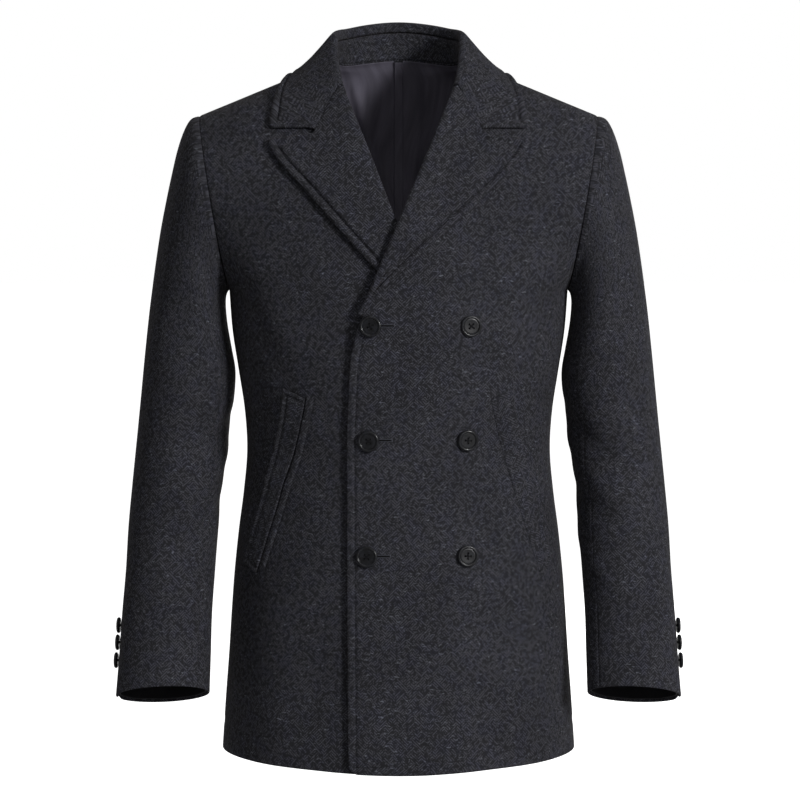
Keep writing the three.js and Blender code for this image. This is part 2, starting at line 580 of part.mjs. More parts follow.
function sleevePart(angles, columns) {
  const rings = spread(0, CUFF_RING, CUFF_RING + 1);
  const turns = rings.map((place) => spread(...angles(place), columns));
  const grid = rings.map((place, i) => turns[i].map((degrees) => sleevePoint(place, degrees)));
  grid[0].forEach((point, j) => {
    point.add(grid[1][j].clone().sub(point).setLength(SEAM));
    point.z += UNDERARM_LIFT * smooth(-Math.cos(radians(turns[0][j])), 0.3, 0.9);
  });
  // Over the shoulder the sleeve's end lies square to the body, so it clears the body's own wall.
  const normals = rings.map((place, i) => turns[i].map((degrees) => sleeveNormal(place, degrees)));
  normals[0].forEach((normal, j) => {
    const signed = ((turns[0][j] + 180) % 360) - 180;
    const row = armholeRow(Math.abs(signed));
    const face = signed > 0 ? "front" : "back";
    const body = turnedNormal(face, wrapOf(face, row), row);
    normal.lerp(body, smooth(Math.abs(signed), ARM_FOLD.own, ARM_FOLD.body)).normalize();
  });
  return wall(grid, { outward: 0, inward: CLOTH, facing: -1, normals });
}

function makeSleeve({ name, side }) {
  const seams = SLEEVE_SEAMS;
  const gap = 0.2; // degrees
  const back = (place) => THREE.MathUtils.lerp(seams.backTop, seams.backCuff, place / CUFF_RING);
  const front = (place) => THREE.MathUtils.lerp(seams.frontTop, seams.frontCuff, place / CUFF_RING);
  const top = sleevePart((place) => [back(place) + gap, front(place) - gap], 10);
  const under = sleevePart((place) => [front(place) + gap, back(place) + 360 - gap], 9);
  add("sleeve_top_" + name, onSide(side, top), WOOL);
  add("sleeve_under_" + name, onSide(side, under), WOOL);
}

// ---------- pocket welts ----------
function makeWelt({ name, side }) {
  const grid = WELT_ROWS.map((row) =>
    spread(0, 1, 4).map((share) =>
      onFront(
        side,
        row.sewnX + share * (row.freeX - row.sewnX),
        row.sewnZ + share * (row.freeZ - row.sewnZ),
        AIR + CLOTH,
      ),
    ),
  );
  add("pocket_welt_" + name, onSide(side, wall(grid, { outward: 0, inward: CLOTH, facing: 1 })), WOOL);
}

// ---------- linings ----------
function makeBackLining() {
  const { hem, pleatHalf, pleatFold, pleatRise, reach, air, columns } = LINING;
  const rows = [NECK_ROW + 0.12, 2.5, 3, 3.7, 4.4, 5, 6, ...spread(7, hem, 8)];
  const grid = rows.map((row) => {
    const turns = spread(0, wrapOf("back", row), columns).slice(1);
    turns[turns.length - 1] *= reach;
    const half = [pleatHalf, pleatHalf + pleatFold].map((x) => turnAt("back", x, row)).concat(turns);
    return [...half.toReversed().map((turn) => -turn), ...half].map((turn) => {
      const point = turnedPoint("back", turn, row);
      const pleat = Math.abs(point.x) < pleatHalf + pleatFold / 2 ? pleatRise : 0;
      return point.addScaledVector(turnedNormal("back", turn, row), -CLOTH - air - pleat);
    });
  });
  add("lining_back", wall(grid, { outward: 0, inward: SATIN, facing: -1 }), SATIN_FINISH);
}

// The short tube of lining inside a cuff: outer and inner faces joined at both ends.
function makeCuffLining({ name, side }) {
  const { firstRing, lastRing, points } = CUFF_LINING;
  const ring = (place, depth) =>
    spread(0, 360, points + 1)
      .slice(0, -1)
      .map((degrees) => {
        const point = sleevePoint(place, degrees);
        const centre = sleevePoint(place, 0).add(sleevePoint(place, 180)).multiplyScalar(0.5);
        return point.add(centre.sub(point).setLength(depth));
      });
  const outside = CLOTH + 2 * AIR;
  const places = spread(firstRing, lastRing, 3);
  const faces = [
    ...places.map((place) => ring(place, outside)),
    ...places.toReversed().map((place) => ring(place, outside + SATIN)),
  ];
  const index = [];
  const at = (i, j) => (i % faces.length) * points + (j % points);
  for (let i = 0; i < faces.length; i++)
    for (let j = 0; j < points; j++) {
      index.push(at(i, j), at(i + 1, j + 1), at(i + 1, j));
      index.push(at(i, j), at(i, j + 1), at(i + 1, j + 1));
    }
  const geometry = new THREE.BufferGeometry().setFromPoints(faces.flat()).setIndex(index);
  add("sleeve_lining_" + name, onSide(side, geometry), SATIN_FINISH);
}

// ---------- buttons ----------
const wasm = await Module();
wasm.setup();

function solidOf(geometry) {
  const bare = new THREE.BufferGeometry().setAttribute("position", geometry.getAttribute("position"));
  const merged = mergeVertices(bare.setIndex(geometry.getIndex()), 1e-3);
  return new wasm.Manifold(
    new wasm.Mesh({
      numProp: 3,
      vertProperties: merged.attributes.position.array,
      triVerts: new Uint32Array(merged.index.array),
    }),
  );
}

// A rimmed four-hole button on its thread shank, its axis along +Y and its foot at the origin.
function buttonGeometry({ radius, thick, shank, holes, sides }) {
  const section = BUTTON_SECTION;
  const { radius: drillRadius, sides: drillSides } = BUTTON_DRILL;
  const face = shank + thick * section.face;
  const top = shank + thick;
  const profile = [
    [0, 0],
    [radius * section.shank, 0],
    [radius * section.shank, shank],
    [radius * section.under, shank],
    [radius, shank + thick / 2],
    [radius * section.rim, top],
    [radius * section.dish, face],
    [0, face],
  ];
  const disc = new THREE.LatheGeometry(profile.map(([x, y]) => new THREE.Vector2(x, y)), sides);
  let button = solidOf(disc);
  for (const [x, z] of [[1, 1], [1, -1], [-1, 1], [-1, -1]]) {
    const drill = new THREE.CylinderGeometry(drillRadius, drillRadius, thick * 1.5, drillSides);
    drill.translate(x * holes, top + thick / 4, z * holes);
    button = button.subtract(solidOf(drill));
  }
  const mesh = button.getMesh();
  const points = new THREE.BufferAttribute(new Float32Array(mesh.vertProperties), 3);
  return new THREE.BufferGeometry().setAttribute("position", points).setIndex(Array.from(mesh.triVerts));
}

function placeButton(name, geometry, foot, normal) {
  const mesh = add(name, geometry, BUTTON_FINISH);
  mesh.position.copy(foot).addScaledVector(normal, SEAM);
  mesh.quaternion.setFromUnitVectors(vector(0, 1, 0), normal);
}

function makeFrontButtons() {
  const geometry = buttonGeometry(FRONT_BUTTON);
  FRONT_BUTTONS.forEach(({ left, right, z }, i) => {
    for (const [name, x] of [["left", left], ["right", right]]) {
      const normal = onFront(1, x, z, 1).sub(onFront(1, x, z, 0)).normalize();
      placeButton("button_front_" + (i + 1) + "_" + name, geometry, onFront(1, x, z, 0), normal);
    }
  });
}

function makeCuffButtons({ name, side }) {
  const geometry = buttonGeometry(CUFF_BUTTON);
  CUFF_BUTTON_RINGS.forEach((place, i) => {
    const foot = sleevePoint(place, CUFF_BUTTON_ANGLE);
    const normal = sleeveNormal(place, CUFF_BUTTON_ANGLE);
    foot.x *= side;
    normal.x *= side;
    placeButton("button_cuff_" + name + "_" + (i + 1), geometry, foot, normal);
  });
}

for (const part of SIDES) {
  makeFront(part);
  makeBack(part);
  makeLapel(part);
  makeSleeve(part);
  makeWelt(part);
  makeCuffLining(part);
  makeCuffButtons(part);
}
makeCollar();
makeBackLining();
makeFrontButtons();

export default coat;
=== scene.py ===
"""A double-breasted pea coat in heavy charcoal wool, built over its fixed frame.

Tailoring sizes are in millimetres and each mesh is turned to metres as it is made.
+X is the wearer's left, -Y the front and +Z up. Every cloth piece is a closed thin shell laid on
one body surface or on the sleeve's rings, and each one replaces the frame's plainer wall.
"""

import math

import bpy
import numpy as np
from mathutils import Matrix, Quaternion, Vector


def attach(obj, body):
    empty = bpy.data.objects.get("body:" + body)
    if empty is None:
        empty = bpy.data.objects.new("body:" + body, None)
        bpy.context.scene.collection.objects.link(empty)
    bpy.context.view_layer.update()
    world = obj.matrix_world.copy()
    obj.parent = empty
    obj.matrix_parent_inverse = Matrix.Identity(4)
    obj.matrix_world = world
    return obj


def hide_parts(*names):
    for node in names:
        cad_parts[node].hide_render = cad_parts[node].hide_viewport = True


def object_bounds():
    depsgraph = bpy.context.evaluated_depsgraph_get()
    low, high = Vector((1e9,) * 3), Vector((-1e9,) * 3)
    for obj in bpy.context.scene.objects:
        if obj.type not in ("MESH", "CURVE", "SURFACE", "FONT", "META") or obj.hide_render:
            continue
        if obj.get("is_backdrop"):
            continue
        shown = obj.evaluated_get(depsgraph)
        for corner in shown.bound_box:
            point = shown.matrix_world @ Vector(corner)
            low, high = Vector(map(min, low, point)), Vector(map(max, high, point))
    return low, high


bl_info = {
    "name": "Pea coat",
    "version": (1, 0, 0),
    "blender": (4, 5, 0),
    "location": "View3D > Sidebar > Pea coat",
    "description": "Builds a double-breasted wool coat over its fixed frame",
    "category": "Add Mesh",
}

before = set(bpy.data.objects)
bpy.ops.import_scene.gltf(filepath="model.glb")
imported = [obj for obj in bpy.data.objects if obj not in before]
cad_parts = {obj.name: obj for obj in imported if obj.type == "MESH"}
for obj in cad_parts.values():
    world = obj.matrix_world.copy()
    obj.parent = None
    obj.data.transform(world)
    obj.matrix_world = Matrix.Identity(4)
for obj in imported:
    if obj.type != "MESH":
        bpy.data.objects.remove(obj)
CAD_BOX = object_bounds()
MM = 0.001
SIDES = {"left": 1, "right": -1}

# ---------- the coat's cut, in millimetres ----------
CLOTH = 2.4  # one layer of coating
TURNED = 3.0  # collar and lapels, two layers pressed together
SATIN = 0.8
AIR = 0.9  # between layers that lie on each other
NECK_HALF = 73.0
NECK_ROW = 2.0  # body row of the centre back neck
FLATNESS = 1.12  # 1 is an ellipse, more is flatter at the middle
MID_ROUND = 0.15  # share of the half width over which a row levels out at the middle
SIDE_Y = 8.0
ARMHOLE = {"x": 213.0, "y": 8.0, "z": -164.2, "half_x": 17.0, "half_y": 78.0, "half_z": 100.8}

# The body from the shoulder to the underarm, a value for each angle round the armhole.
CHEST = {
    "angle": (0, 25, 50, 75, 100, 125, 150, 180),
    "front_z": (20, -8, -50, -105, -160, -210, -250, -283),
    "front_y": (5, -35, -68, -93, -110, -120, -127, -131),
    "front_wrap": (30, 36, 38, 42, 49, 60, 73, 90),
    "back_z": (20, 17, 6, -40, -110, -175, -235, -275),
    "back_y": (5, 45, 80, 104, 120, 125, 125, 122),
    "back_wrap": (30, 30, 32, 38, 46, 57, 70, 90),
}
# The body from the underarm to the hem.
SKIRT = {
    "side_z": (-311, -357, -404, -450, -497, -543, -591, -637, -684, -737, -797),
    "side_x": (192.5, 185.5, 178.5, 176, 180, 186, 191, 194.5, 197.5, 201.5, 205.5),
    "front_z": (-320, -366, -413, -459, -507, -554, -602, -649, -697, -748, -806),
    "front_y": (-131, -128, -123, -120, -121, -124, -127, -130, -134, -138, -142),
    "back_z": (-316, -361, -408, -454, -501, -548, -596, -643, -690, -738, -803),
    "back_y": (117, 109, 102, 100, 104, 110, 117, 122, 127, 131, 136),
}
UNDERARM_ROW = len(CHEST["angle"]) - 1
HEM_ROW = UNDERARM_ROW + len(SKIRT["side_z"])

# The free edge of a front, from the neck point down the lapel's roll to the hem.
FRONT_EDGE_Z = (2, -36, -110, -188, -270, -298, -340, -429, -600, -810)
FRONT_EDGE_X = (73, 67.5, 37.4, 5.6, -28.5, -43, -53.5, -57, -57, -55.5)
# The left front rises over the right one between these x, and below these heights.
OVERLAP = {"air": 1.1, "full": 60, "none": 105, "none_z": -90, "full_z": -175}
LAPEL_HUMP = {"rise": 5.4, "full_z": -296, "none_z": -350, "full": 12, "none": 60}

# The lapels, a value for each height of the roll.
LAPEL = {
    "roll_z": (-37, -58, -80, -105, -132, -160, -190, -222, -252, -276, -292),
    "edge_x": (150, 141, 129, 109, 88, 66, 44, 20, -4, -24, -37),
    "edge_z": (-94, -110, -126, -146, -166, -186, -206, -229, -250, -266, -283),
    "bend": (1, 0.6, 0.3, 0.1, 0, 0, 0, 0, 0, 0, 0),
    "curl": (3.4, 3.4, 3.4, 3.4, 3.4, 3.4, 3.4, 3.3, 3, 2.6, 2.2),
    "pressed": (3.4, 3.4, 3.4, 3.3, 2.9, 2.2, 2.1, 2.1, 2.1, 2.1, 2.1),
}
NOTCH = {
    "lapel_x": 95, "lapel_z": -86.4, "collar_x": 94.6, "collar_z": -84.6, "slit": 1.2, "gape": 2.1,
}
NOTCH_SHARE = 0.42  # how far across the lapel or collar the notch's inner end lies
RIGHT_BELLY = 17  # the right lapel's edge hangs this much lower near its foot
# The edge stitching's groove, as a share of its full depth.
FRONT_GROOVE = 0.55
LAPEL_GROOVE = 1.4
LAPEL_LIFT = 2.4  # a lapel's outer edge stands this much off the front
# The left front's free edge lifts off the right front, over this width and below these heights.
EDGE_LIFT = {"rise": 3.0, "width": 32.0, "none_z": -262, "full_z": -330}

# The collar from the centre back to the notch, a value for each place on the neck seam.
COLLAR = {
    "seam": (-2, -1.85, -1.4, -0.8, 0, 0.48, 0.95, 1.38),
    "join": (31, 30.5, 29, 25.5, 19, 10.5, 4, -1.2),
    "top": (44, 43.5, 41.5, 38, 30, 20, 12.5, 7.1),
    "lean": (2, 2, 2, 2, 2, 2.6, 3.4, 3.8),
    "upright": (0, 0, 0, 0, 0.1, 0.5, 0.8, 1),
    "out": (0, 22, 44, 66, 88, 96, 100, 100),
    "edge_x": (0, 44, 86, 115, 128, 138, 143, 147),
    "edge_row": (-2.55, -2.45, -2, -1.2, -0.1, 0.77, 1.4, 2.09),
}
COLLAR_CURL = 3.4
COLLAR_LIFT = 0.5  # the fall's outer edge stands this much further off the coat
STAND_FOOT = -0.6  # the stand's lower edge over the neck seam

# The left sleeve's rings from the armhole to the cuff.
SLEEVE = {
    "out_x": (230, 240, 248, 255.5, 262, 268.5, 275.5, 282, 288.5,
              294, 299, 304, 309, 313, 315, 318, 320, 322.5),
    "out_z": (-63.4, -67.5, -81, -103, -130, -160, -196, -238, -286,
              -336, -386, -436, -488, -538, -588, -635, -681, -727),
    "in_x": (196, 198, 199.6, 200.6, 200.6, 199.6, 197.5, 193.5, 189.5,
             191, 195.5, 200.5, 205, 209, 212, 214.5, 215, 215.5),
    "in_z": (-265, -266.5, -270, -276, -285, -297, -312, -334, -359,
             -388, -418, -453, -496, -541, -587, -633, -678, -722),
    "mid_y": (8, 8, 8, 8, 8, 8, 8, 8, 8, 8, 8, 7, 2, -8, -22, -38, -55, -73),
    "half_y": (78, 79, 78.5, 77, 75, 73, 71, 69, 67.5, 66, 64, 61.5, 58.5, 55, 51.5, 48, 45, 42.5),
    "pitch": (0, 0, 0, 0, 0, 0, 0, 0, 0, 0, 0, 2, 7, 12, 16, 18, 20, 21),
}
CUFF_RING = len(SLEEVE["out_x"]) - 1
RING = 46  # about how far apart the rings are
SLEEVE_SEAMS = {"back_top": -62, "back_cuff": -14, "front_top": 135, "front_cuff": 141}  # degrees

# The hand-pocket welt: its sewn edge and its free edge, from the top down.
WELT = {
    "sewn_x": (104, 111, 119, 131, 143.5, 161),
    "sewn_z": (-385, -420, -449, -490, -530, -586),
    "free_x": (128, 132.5, 140, 149, 160.5, 174),
    "free_z": (-373, -411, -445, -487, -528, -575),
}

TURN_UP = 31.0  # depth of the turned-up hem
LINING = {"hem": 17.4, "reach": 0.97, "air": 3.0, "pleat_rise": 1.6}
CUFF_LINING = {"first": 15.0, "last": 16.9}

FRONT_BUTTONS = ((79.5, -30.5, -303), (76.5, -33, -431), (76.5, -35, -561.5))
CUFF_BUTTON_RINGS = (15.29, 15.7, 16.12)
CUFF_BUTTON_ANGLE = -4
FRONT_BUTTON = {"thick": 4.0, "shank": 1.2, "holes": 2.3, "drill": 1.3}
CUFF_BUTTON = {"thick": 3.6, "shank": 1.6, "holes": 1.75, "drill": 1.0}
BUTTONHOLE = 26.0  # from the button's centre to the slit's inner end
# How far each front button has turned on its thread, in degrees.
BUTTON_SPINS = {
    "button_front_1_left": 4, "button_front_2_left": 40, "button_front_3_left": 41,
    "button_front_1_right": -24, "button_front_2_right": 2, "button_front_3_right": -3,
}


# ---------- curves and tables ----------
def spline(values, place):
    """A smooth curve through evenly spaced values, read at places between them."""
    values = np.asarray(values, float)
    last = len(values) - 1
    start = np.clip(np.floor(place).astype(int), 0, last - 1)
    t = place - start
    a, b, c, d = (values[np.clip(start + step, 0, last)] for step in (-1, 0, 1, 2))
    return b + t / 2 * (c - a + t * (2 * a - 5 * b + 4 * c - d + t * (3 * (b - c) + d - a)))


def smooth(value, none, full):
    t = np.clip((value - none) / (full - none), 0, 1)
    return t * t * (3 - 2 * t)


def point(x, y, z):
    return np.stack(np.broadcast_arrays(x, y, z), axis=-1).astype(float)


def unit(vectors):
    return vectors / np.maximum(np.linalg.norm(vectors, axis=-1, keepdims=True), 1e-9)


def front_edge_x(z):
    """The front's free edge at a height, with the corner at the lapel's break eased."""
    steps = np.linspace(-14, 14, 9)
    fall, x = -np.array(FRONT_EDGE_Z, float), np.array(FRONT_EDGE_X, float)
    return np.mean([np.interp(-(z + step), fall, x) for step in steps], axis=0)


# ---------- soft folds --------------------------
# Each fold is a ridge from one point to another seen from the front or back: its ends, its half
# width and its height. A negative height is a hollow.
FRONT_FOLDS = (
    ((176, -235), (120, -330), 16, 2.2),
    ((188, -262), (140, -372), 12, -1.6),
    ((-178, -228), (-128, -318), 15, 2.6),
    ((-190, -262), (-132, -360), 13, -2.0),
    ((-170, -180), (-120, -240), 22, -2.2),
    ((168, -180), (122, -236), 22, -1.6),
    ((120, -450), (60, -470), 26, -1.2),
    ((-150, -440), (-80, -462), 18, -1.8),
    ((-168, -470), (-90, -500), 14, 1.4),
    ((150, -700), (160, -800), 26, 2.6),
    ((108, -640), (112, -800), 20, -1.8),
    ((-140, -650), (-150, -800), 26, 2.8),
    ((-96, -620), (-98, -800), 20, -2.0),
    ((30, -640), (34, -800), 24, 1.4),
    ((-10, -350), (40, -372), 14, 1.2),
)
BACK_FOLDS = (
    ((-150, -170), (-70, -300), 20, -2.4),
    ((152, -176), (82, -290), 20, -2.2),
    ((-128, -140), (-60, -230), 16, 1.8),
    ((118, -130), (54, -236), 17, 1.6),
    ((-150, -430), (-60, -470), 16, 2.0),
    ((140, -444), (56, -462), 15, 2.2),
    ((-40, -480), (60, -500), 18, -1.6),
    ((-128, -640), (-140, -800), 26, 3.0),
    ((120, -630), (138, -800), 25, 2.8),
    ((-62, -600), (-70, -800), 22, -2.2),
    ((58, -620), (60, -800), 22, -2.2),
    ((-4, -560), (0, -800), 26, 1.8),
)
# On a sleeve a fold runs from (ring, degrees) to (ring, degrees); the half width is in millimetres.
SLEEVE_FOLDS = {
    "left": (
        ((9.4, 175), (11.6, 92), 13, -3.0),
        ((10.4, 186), (12.2, 112), 10, 2.2),
        ((11.8, 190), (13.0, 104), 12, -2.6),
        ((13.0, 186), (14.4, 120), 10, 1.8),
        ((4.0, 118), (8.5, 60), 18, -2.0),
        ((3.0, 128), (7.0, 84), 13, 2.0),
        ((10.2, -96), (12.2, -40), 14, 2.0),
        ((11.6, -110), (13.4, -60), 12, -2.2),
        ((4.0, -112), (8.5, -70), 16, -2.2),
    ),
    "right": (
        ((9.8, 178), (11.4, 96), 12, -2.6),
        ((10.8, 188), (12.6, 100), 11, 2.4),
        ((12.2, 186), (13.6, 110), 12, -2.4),
        ((3.4, 122), (8.0, 70), 18, -2.6),
        ((2.6, 130), (6.2, 92), 12, 2.4),
        ((5.5, 96), (9.0, 40), 20, 1.4),
        ((10.0, -104), (12.0, -46), 13, 2.2),
        ((11.8, -112), (13.2, -58), 12, -2.4),
        ((3.6, -110), (8.0, -74), 16, -2.0),
    ),
}


def fold_height(folds, across, along):
    """The height of the given folds at points of a flat plan; each ridge dies away at its ends."""
    height = np.zeros(np.broadcast(across, along).shape)
    for (x0, y0), (x1, y1), half_width, rise in folds:
        length = math.hypot(x1 - x0, y1 - y0)
        ux, uy = (x1 - x0) / length, (y1 - y0) / length
        travel = ((across - x0) * ux + (along - y0) * uy) / length
        offset = (across - x0) * -uy + (along - y0) * ux
        ends = smooth(travel, -0.35, 0.2) * smooth(travel, 1.35, 0.8)
        height += rise * ends * np.exp(-((offset / half_width) ** 2))
    return height


# ---------- the body surface ----------
def armhole_point(degrees):
    turn = np.radians(degrees)
    return point(
        ARMHOLE["x"] + ARMHOLE["half_x"] * np.cos(turn),
        ARMHOLE["y"] - ARMHOLE["half_y"] * np.sin(turn),
        ARMHOLE["z"] + ARMHOLE["half_z"] * np.cos(turn),
    )


def outer_edge(face, row):
    """The armhole, then the side seam, of the front or back at a body row."""
    angle = spline(CHEST["angle"], np.minimum(row, UNDERARM_ROW))
    upper = armhole_point(angle if face == "front" else -angle)
    place = np.maximum(row - UNDERARM_ROW, 0)
    side_x = (ARMHOLE["x"] - ARMHOLE["half_x"], *SKIRT["side_x"])
    side_z = (ARMHOLE["z"] - ARMHOLE["half_z"], *SKIRT["side_z"])
    lower = point(spline(side_x, place), SIDE_Y, spline(side_z, place))
    return np.where((row < UNDERARM_ROW)[..., None], upper, lower)


def wrap_of(face, row):
    return np.radians(spline(CHEST[face + "_wrap"], np.minimum(row, UNDERARM_ROW)))


def levelling(share):
    return np.hypot(share, MID_ROUND) - MID_ROUND


def body_row(face, share, row):
    """A point of the front or back at a share of its half width and a body row."""
    edge, wrap = outer_edge(face, row), wrap_of(face, row)
    turn = np.arcsin(np.clip(share, -1, 1) * np.sin(wrap))
    bend = ((1 - np.cos(turn)) / (1 - np.cos(wrap))) ** FLATNESS
    mid_y = spline((*CHEST[face + "_y"], *SKIRT[face + "_y"]), row)
    mid_z = spline((*CHEST[face + "_z"], *SKIRT[face + "_z"]), row)
    fall = levelling(share) / levelling(1)
    y, z = mid_y + (edge[..., 1] - mid_y) * bend, mid_z + (edge[..., 2] - mid_z) * fall
    return point(edge[..., 0] * share, y, z)


def body(face, share, row, side=1):
    """The body surface, eased across the underarm level, with the folds of its own side."""
    share, row = np.broadcast_arrays(np.asarray(share, float), np.asarray(row, float))
    reach = 1.5 * (1 - share**4) * np.exp(-(((row - UNDERARM_ROW) / 1.7) ** 2))
    weights = (0.1, 0.23, 0.34, 0.23, 0.1)
    steps = (-1, -0.5, 0, 0.5, 1)
    eased = sum(
        w * body_row(face, share, np.clip(row + reach * s, 0, HEM_ROW)) for w, s in zip(weights, steps)
    )
    turn = np.arcsin(np.clip(share, -1, 1) * np.sin(wrap_of(face, row)))
    folds = FRONT_FOLDS if face == "front" else BACK_FOLDS
    height = fold_height(folds, side * eased[..., 0], eased[..., 2]) * (1 - np.abs(share) ** 6)
    ahead = -1 if face == "front" else 1
    return eased + height[..., None] * point(np.sin(turn), ahead * np.cos(turn), 0 * turn)


def share_at(face, x, row):
    return np.clip(x / outer_edge(face, row)[..., 0], -1, 1)


def body_normal(face, x, row, side=1):
    share = share_at(face, x, row)
    step = 0.02
    across = body(face, share + step, row, side) - body(face, share - step, row, side)
    upper, lower = np.clip(row - 0.05, 0, HEM_ROW), np.clip(row + 0.05, 0, HEM_ROW)
    down = body(face, share, lower, side) - body(face, share, upper, side)
    return unit(np.cross(across, down) * (-1 if face == "front" else 1))


def row_at(face, x, z, side=1):
    """The body row at which the front or back reaches a height."""
    x, z = np.broadcast_arrays(np.asarray(x, float), np.asarray(z, float))
    top, bottom = np.zeros(z.shape), np.full(z.shape, float(HEM_ROW))
    for _ in range(22):
        row = (top + bottom) / 2
        above = body(face, share_at(face, x, row), row, side)[..., 2] > z
        top, bottom = np.where(above, row, top), np.where(above, bottom, row)
    return (top + bottom) / 2


def front_rise(side, x, z):
    """How far the left front stands over the body surface, where it laps over the right one."""
    if side < 0:
        return np.zeros(np.broadcast(x, z).shape)
    over = smooth(x, OVERLAP["none"], OVERLAP["full"])
    roll = -front_edge_x(z)
    hump = smooth(z, LAPEL_HUMP["none_z"], LAPEL_HUMP["full_z"]) * smooth(
        x, roll + LAPEL_HUMP["none"], roll + LAPEL_HUMP["full"]
    )
    below = smooth(z, OVERLAP["none_z"], OVERLAP["full_z"])
    lift = np.exp(-(((x + roll) / EDGE_LIFT["width"]) ** 2)) * smooth(
        z, EDGE_LIFT["none_z"], EDGE_LIFT["full_z"]
    )
    lap = (CLOTH + OVERLAP["air"]) * over + LAPEL_HUMP["rise"] * hump
    return lap * below + EDGE_LIFT["rise"] * lift


def on_front(side, x, z, height=0.0):
    """A point over a front's outer face, at its own x and height."""
    row = row_at("front", x, z, side)
    lift = front_rise(side, x, z) + height
    place = body("front", share_at("front", x, row), row, side)
    return place + body_normal("front", x, row, side) * np.asarray(lift)[..., None]


def front_inner_x(row, side=1):
    x = np.full(np.shape(row), NECK_HALF)
    for _ in range(30):
        x = 0.3 * x + 0.7 * front_edge_x(body("front", share_at("front", x, row), row, side)[..., 2])
    return x


def back_inner_x(row):
    return np.where(row < NECK_ROW, NECK_HALF * np.sqrt(np.clip(1 - (row / NECK_ROW) ** 2, 0, 1)), 0)


# ---------- shells ----------
def lengths(grid):
    """How far each point of a grid lies along its column and along its row."""
    down, across = np.zeros(grid.shape[:2]), np.zeros(grid.shape[:2])
    down[1:] = np.cumsum(np.linalg.norm(np.diff(grid, axis=0), axis=-1), axis=0)
    across[:, 1:] = np.cumsum(np.linalg.norm(np.diff(grid, axis=1), axis=-1), axis=1)
    return down, across


def margins(grid):
    """The distance of each point from the grid's first and last row and column."""
    down, across = lengths(grid)
    return {"first": down, "last": down[-1:] - down, "left": across, "right": across[:, -1:] - across}


def rounded(distance, radius):
    """How thick a shell is at a distance from a border that is rounded over a radius, 0 to 1."""
    reach = np.clip(distance / radius, 0, 1)
    return np.sqrt(np.maximum(1 - (1 - reach) ** 2, 0))


def stitched(distance, inset, depth):
    """The height of a turned edge: a pressed groove at the stitch line and a soft roll outside it."""
    groove = -depth * np.exp(-(((distance - inset) / 1.5) ** 2))
    roll = 0.7 * depth * np.exp(-(((distance - inset / 2.1) / (inset / 2.7)) ** 2))
    beyond = 0.3 * depth * np.exp(-(((distance - inset - 5) / 3.4) ** 2))
    return groove + roll + beyond


def border(margin, left, right, first, last):
    """How thick a shell is near its four edges, each rounded over its own radius."""
    sides = rounded(margin["left"], left) * rounded(margin["right"], right)
    return sides * rounded(margin["first"], first) * rounded(margin["last"], last)


def hem_crease(distance):
    """The shallow pressed fold where a turned-up hem is caught down inside."""
    return -1.1 * np.exp(-(((distance - TURN_UP) / 1.7) ** 2))


def collar_thread(margin, end, notch, inset, depth):
    """The stitched outer edge of a collar or lapel, which turns the corner to run on to the notch."""
    distance = np.minimum(margin["right"], np.where(notch > 0.5, end, 1e3))
    reach = np.maximum(smooth(margin["right"], inset * 2.2, inset * 1.6), notch)
    return stitched(distance, inset, depth) * reach


def grid_normals(grid, outside):
    """Directions square to a grid, on the side that points away from the outside reference."""
    normal = unit(np.cross(np.gradient(grid, axis=0), np.gradient(grid, axis=1)))
    away = np.sum(normal * outside(grid))
    return normal if away > 0 else -normal


def from_axis(grid):
    return grid * np.array([1.0, 1.0, 0.0])


def new_piece(name, points, faces, uv, material, stands_for=(), slot="wool"):
    """Makes a mesh from points in millimetres, and ties it to the frame."""
    mesh = bpy.data.meshes.new(name)
    mesh.from_pydata(np.asarray(points) * MM, [], np.asarray(faces).tolist())
    if uv is not None:
        corners = np.empty(len(mesh.loops), np.int32)
        mesh.loops.foreach_get("vertex_index", corners)
        layer = mesh.uv_layers.new(name="grain")
        layer.data.foreach_set("uv", (np.asarray(uv)[corners] * MM).astype(np.float32).ravel())
    mesh.polygons.foreach_set("use_smooth", np.ones(len(mesh.polygons), bool))
    mesh.validate()
    mesh.materials.append(material)
    made = bpy.data.objects.new(name, mesh)
    bpy.context.scene.collection.objects.link(made)
    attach(made, "root")
    if stands_for:
        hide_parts(*stands_for)
    return made


def shell(name, grid, normals, up, low, uv, material, side=1, **facts):
    """A closed thin sheet round a grid: its two faces meet along the border."""
    rows, columns = grid.shape[:2]
    top, bottom = grid + normals * up[..., None], grid - normals * low[..., None]
    over = np.arange(rows * columns).reshape(rows, columns)
    under = over.copy()
    inner = (slice(1, -1), slice(1, -1))
    under[inner] = rows * columns + np.arange((rows - 2) * (columns - 2)).reshape(rows - 2, columns - 2)
    points = np.concatenate([top.reshape(-1, 3), bottom[inner].reshape(-1, 3)])
    uvs = np.concatenate([uv.reshape(-1, 2), uv[inner].reshape(-1, 2)])

    def quads(index):
        corners = (index[:-1, :-1], index[1:, :-1], index[1:, 1:], index[:-1, 1:])
        return np.stack(corners, axis=-1).reshape(-1, 4)

    turned = np.cross(np.gradient(grid, axis=0), np.gradient(grid, axis=1))
    way = 1 if np.sum(turned * normals) > 0 else -1
    faces = np.concatenate([quads(over)[:, ::way], quads(under)[:, ::-way]])
    if side < 0:
        points = points * np.array([-1.0, 1.0, 1.0])
        faces = faces[:, ::-1]
    return new_piece(name, points, faces, uvs, material, **facts)


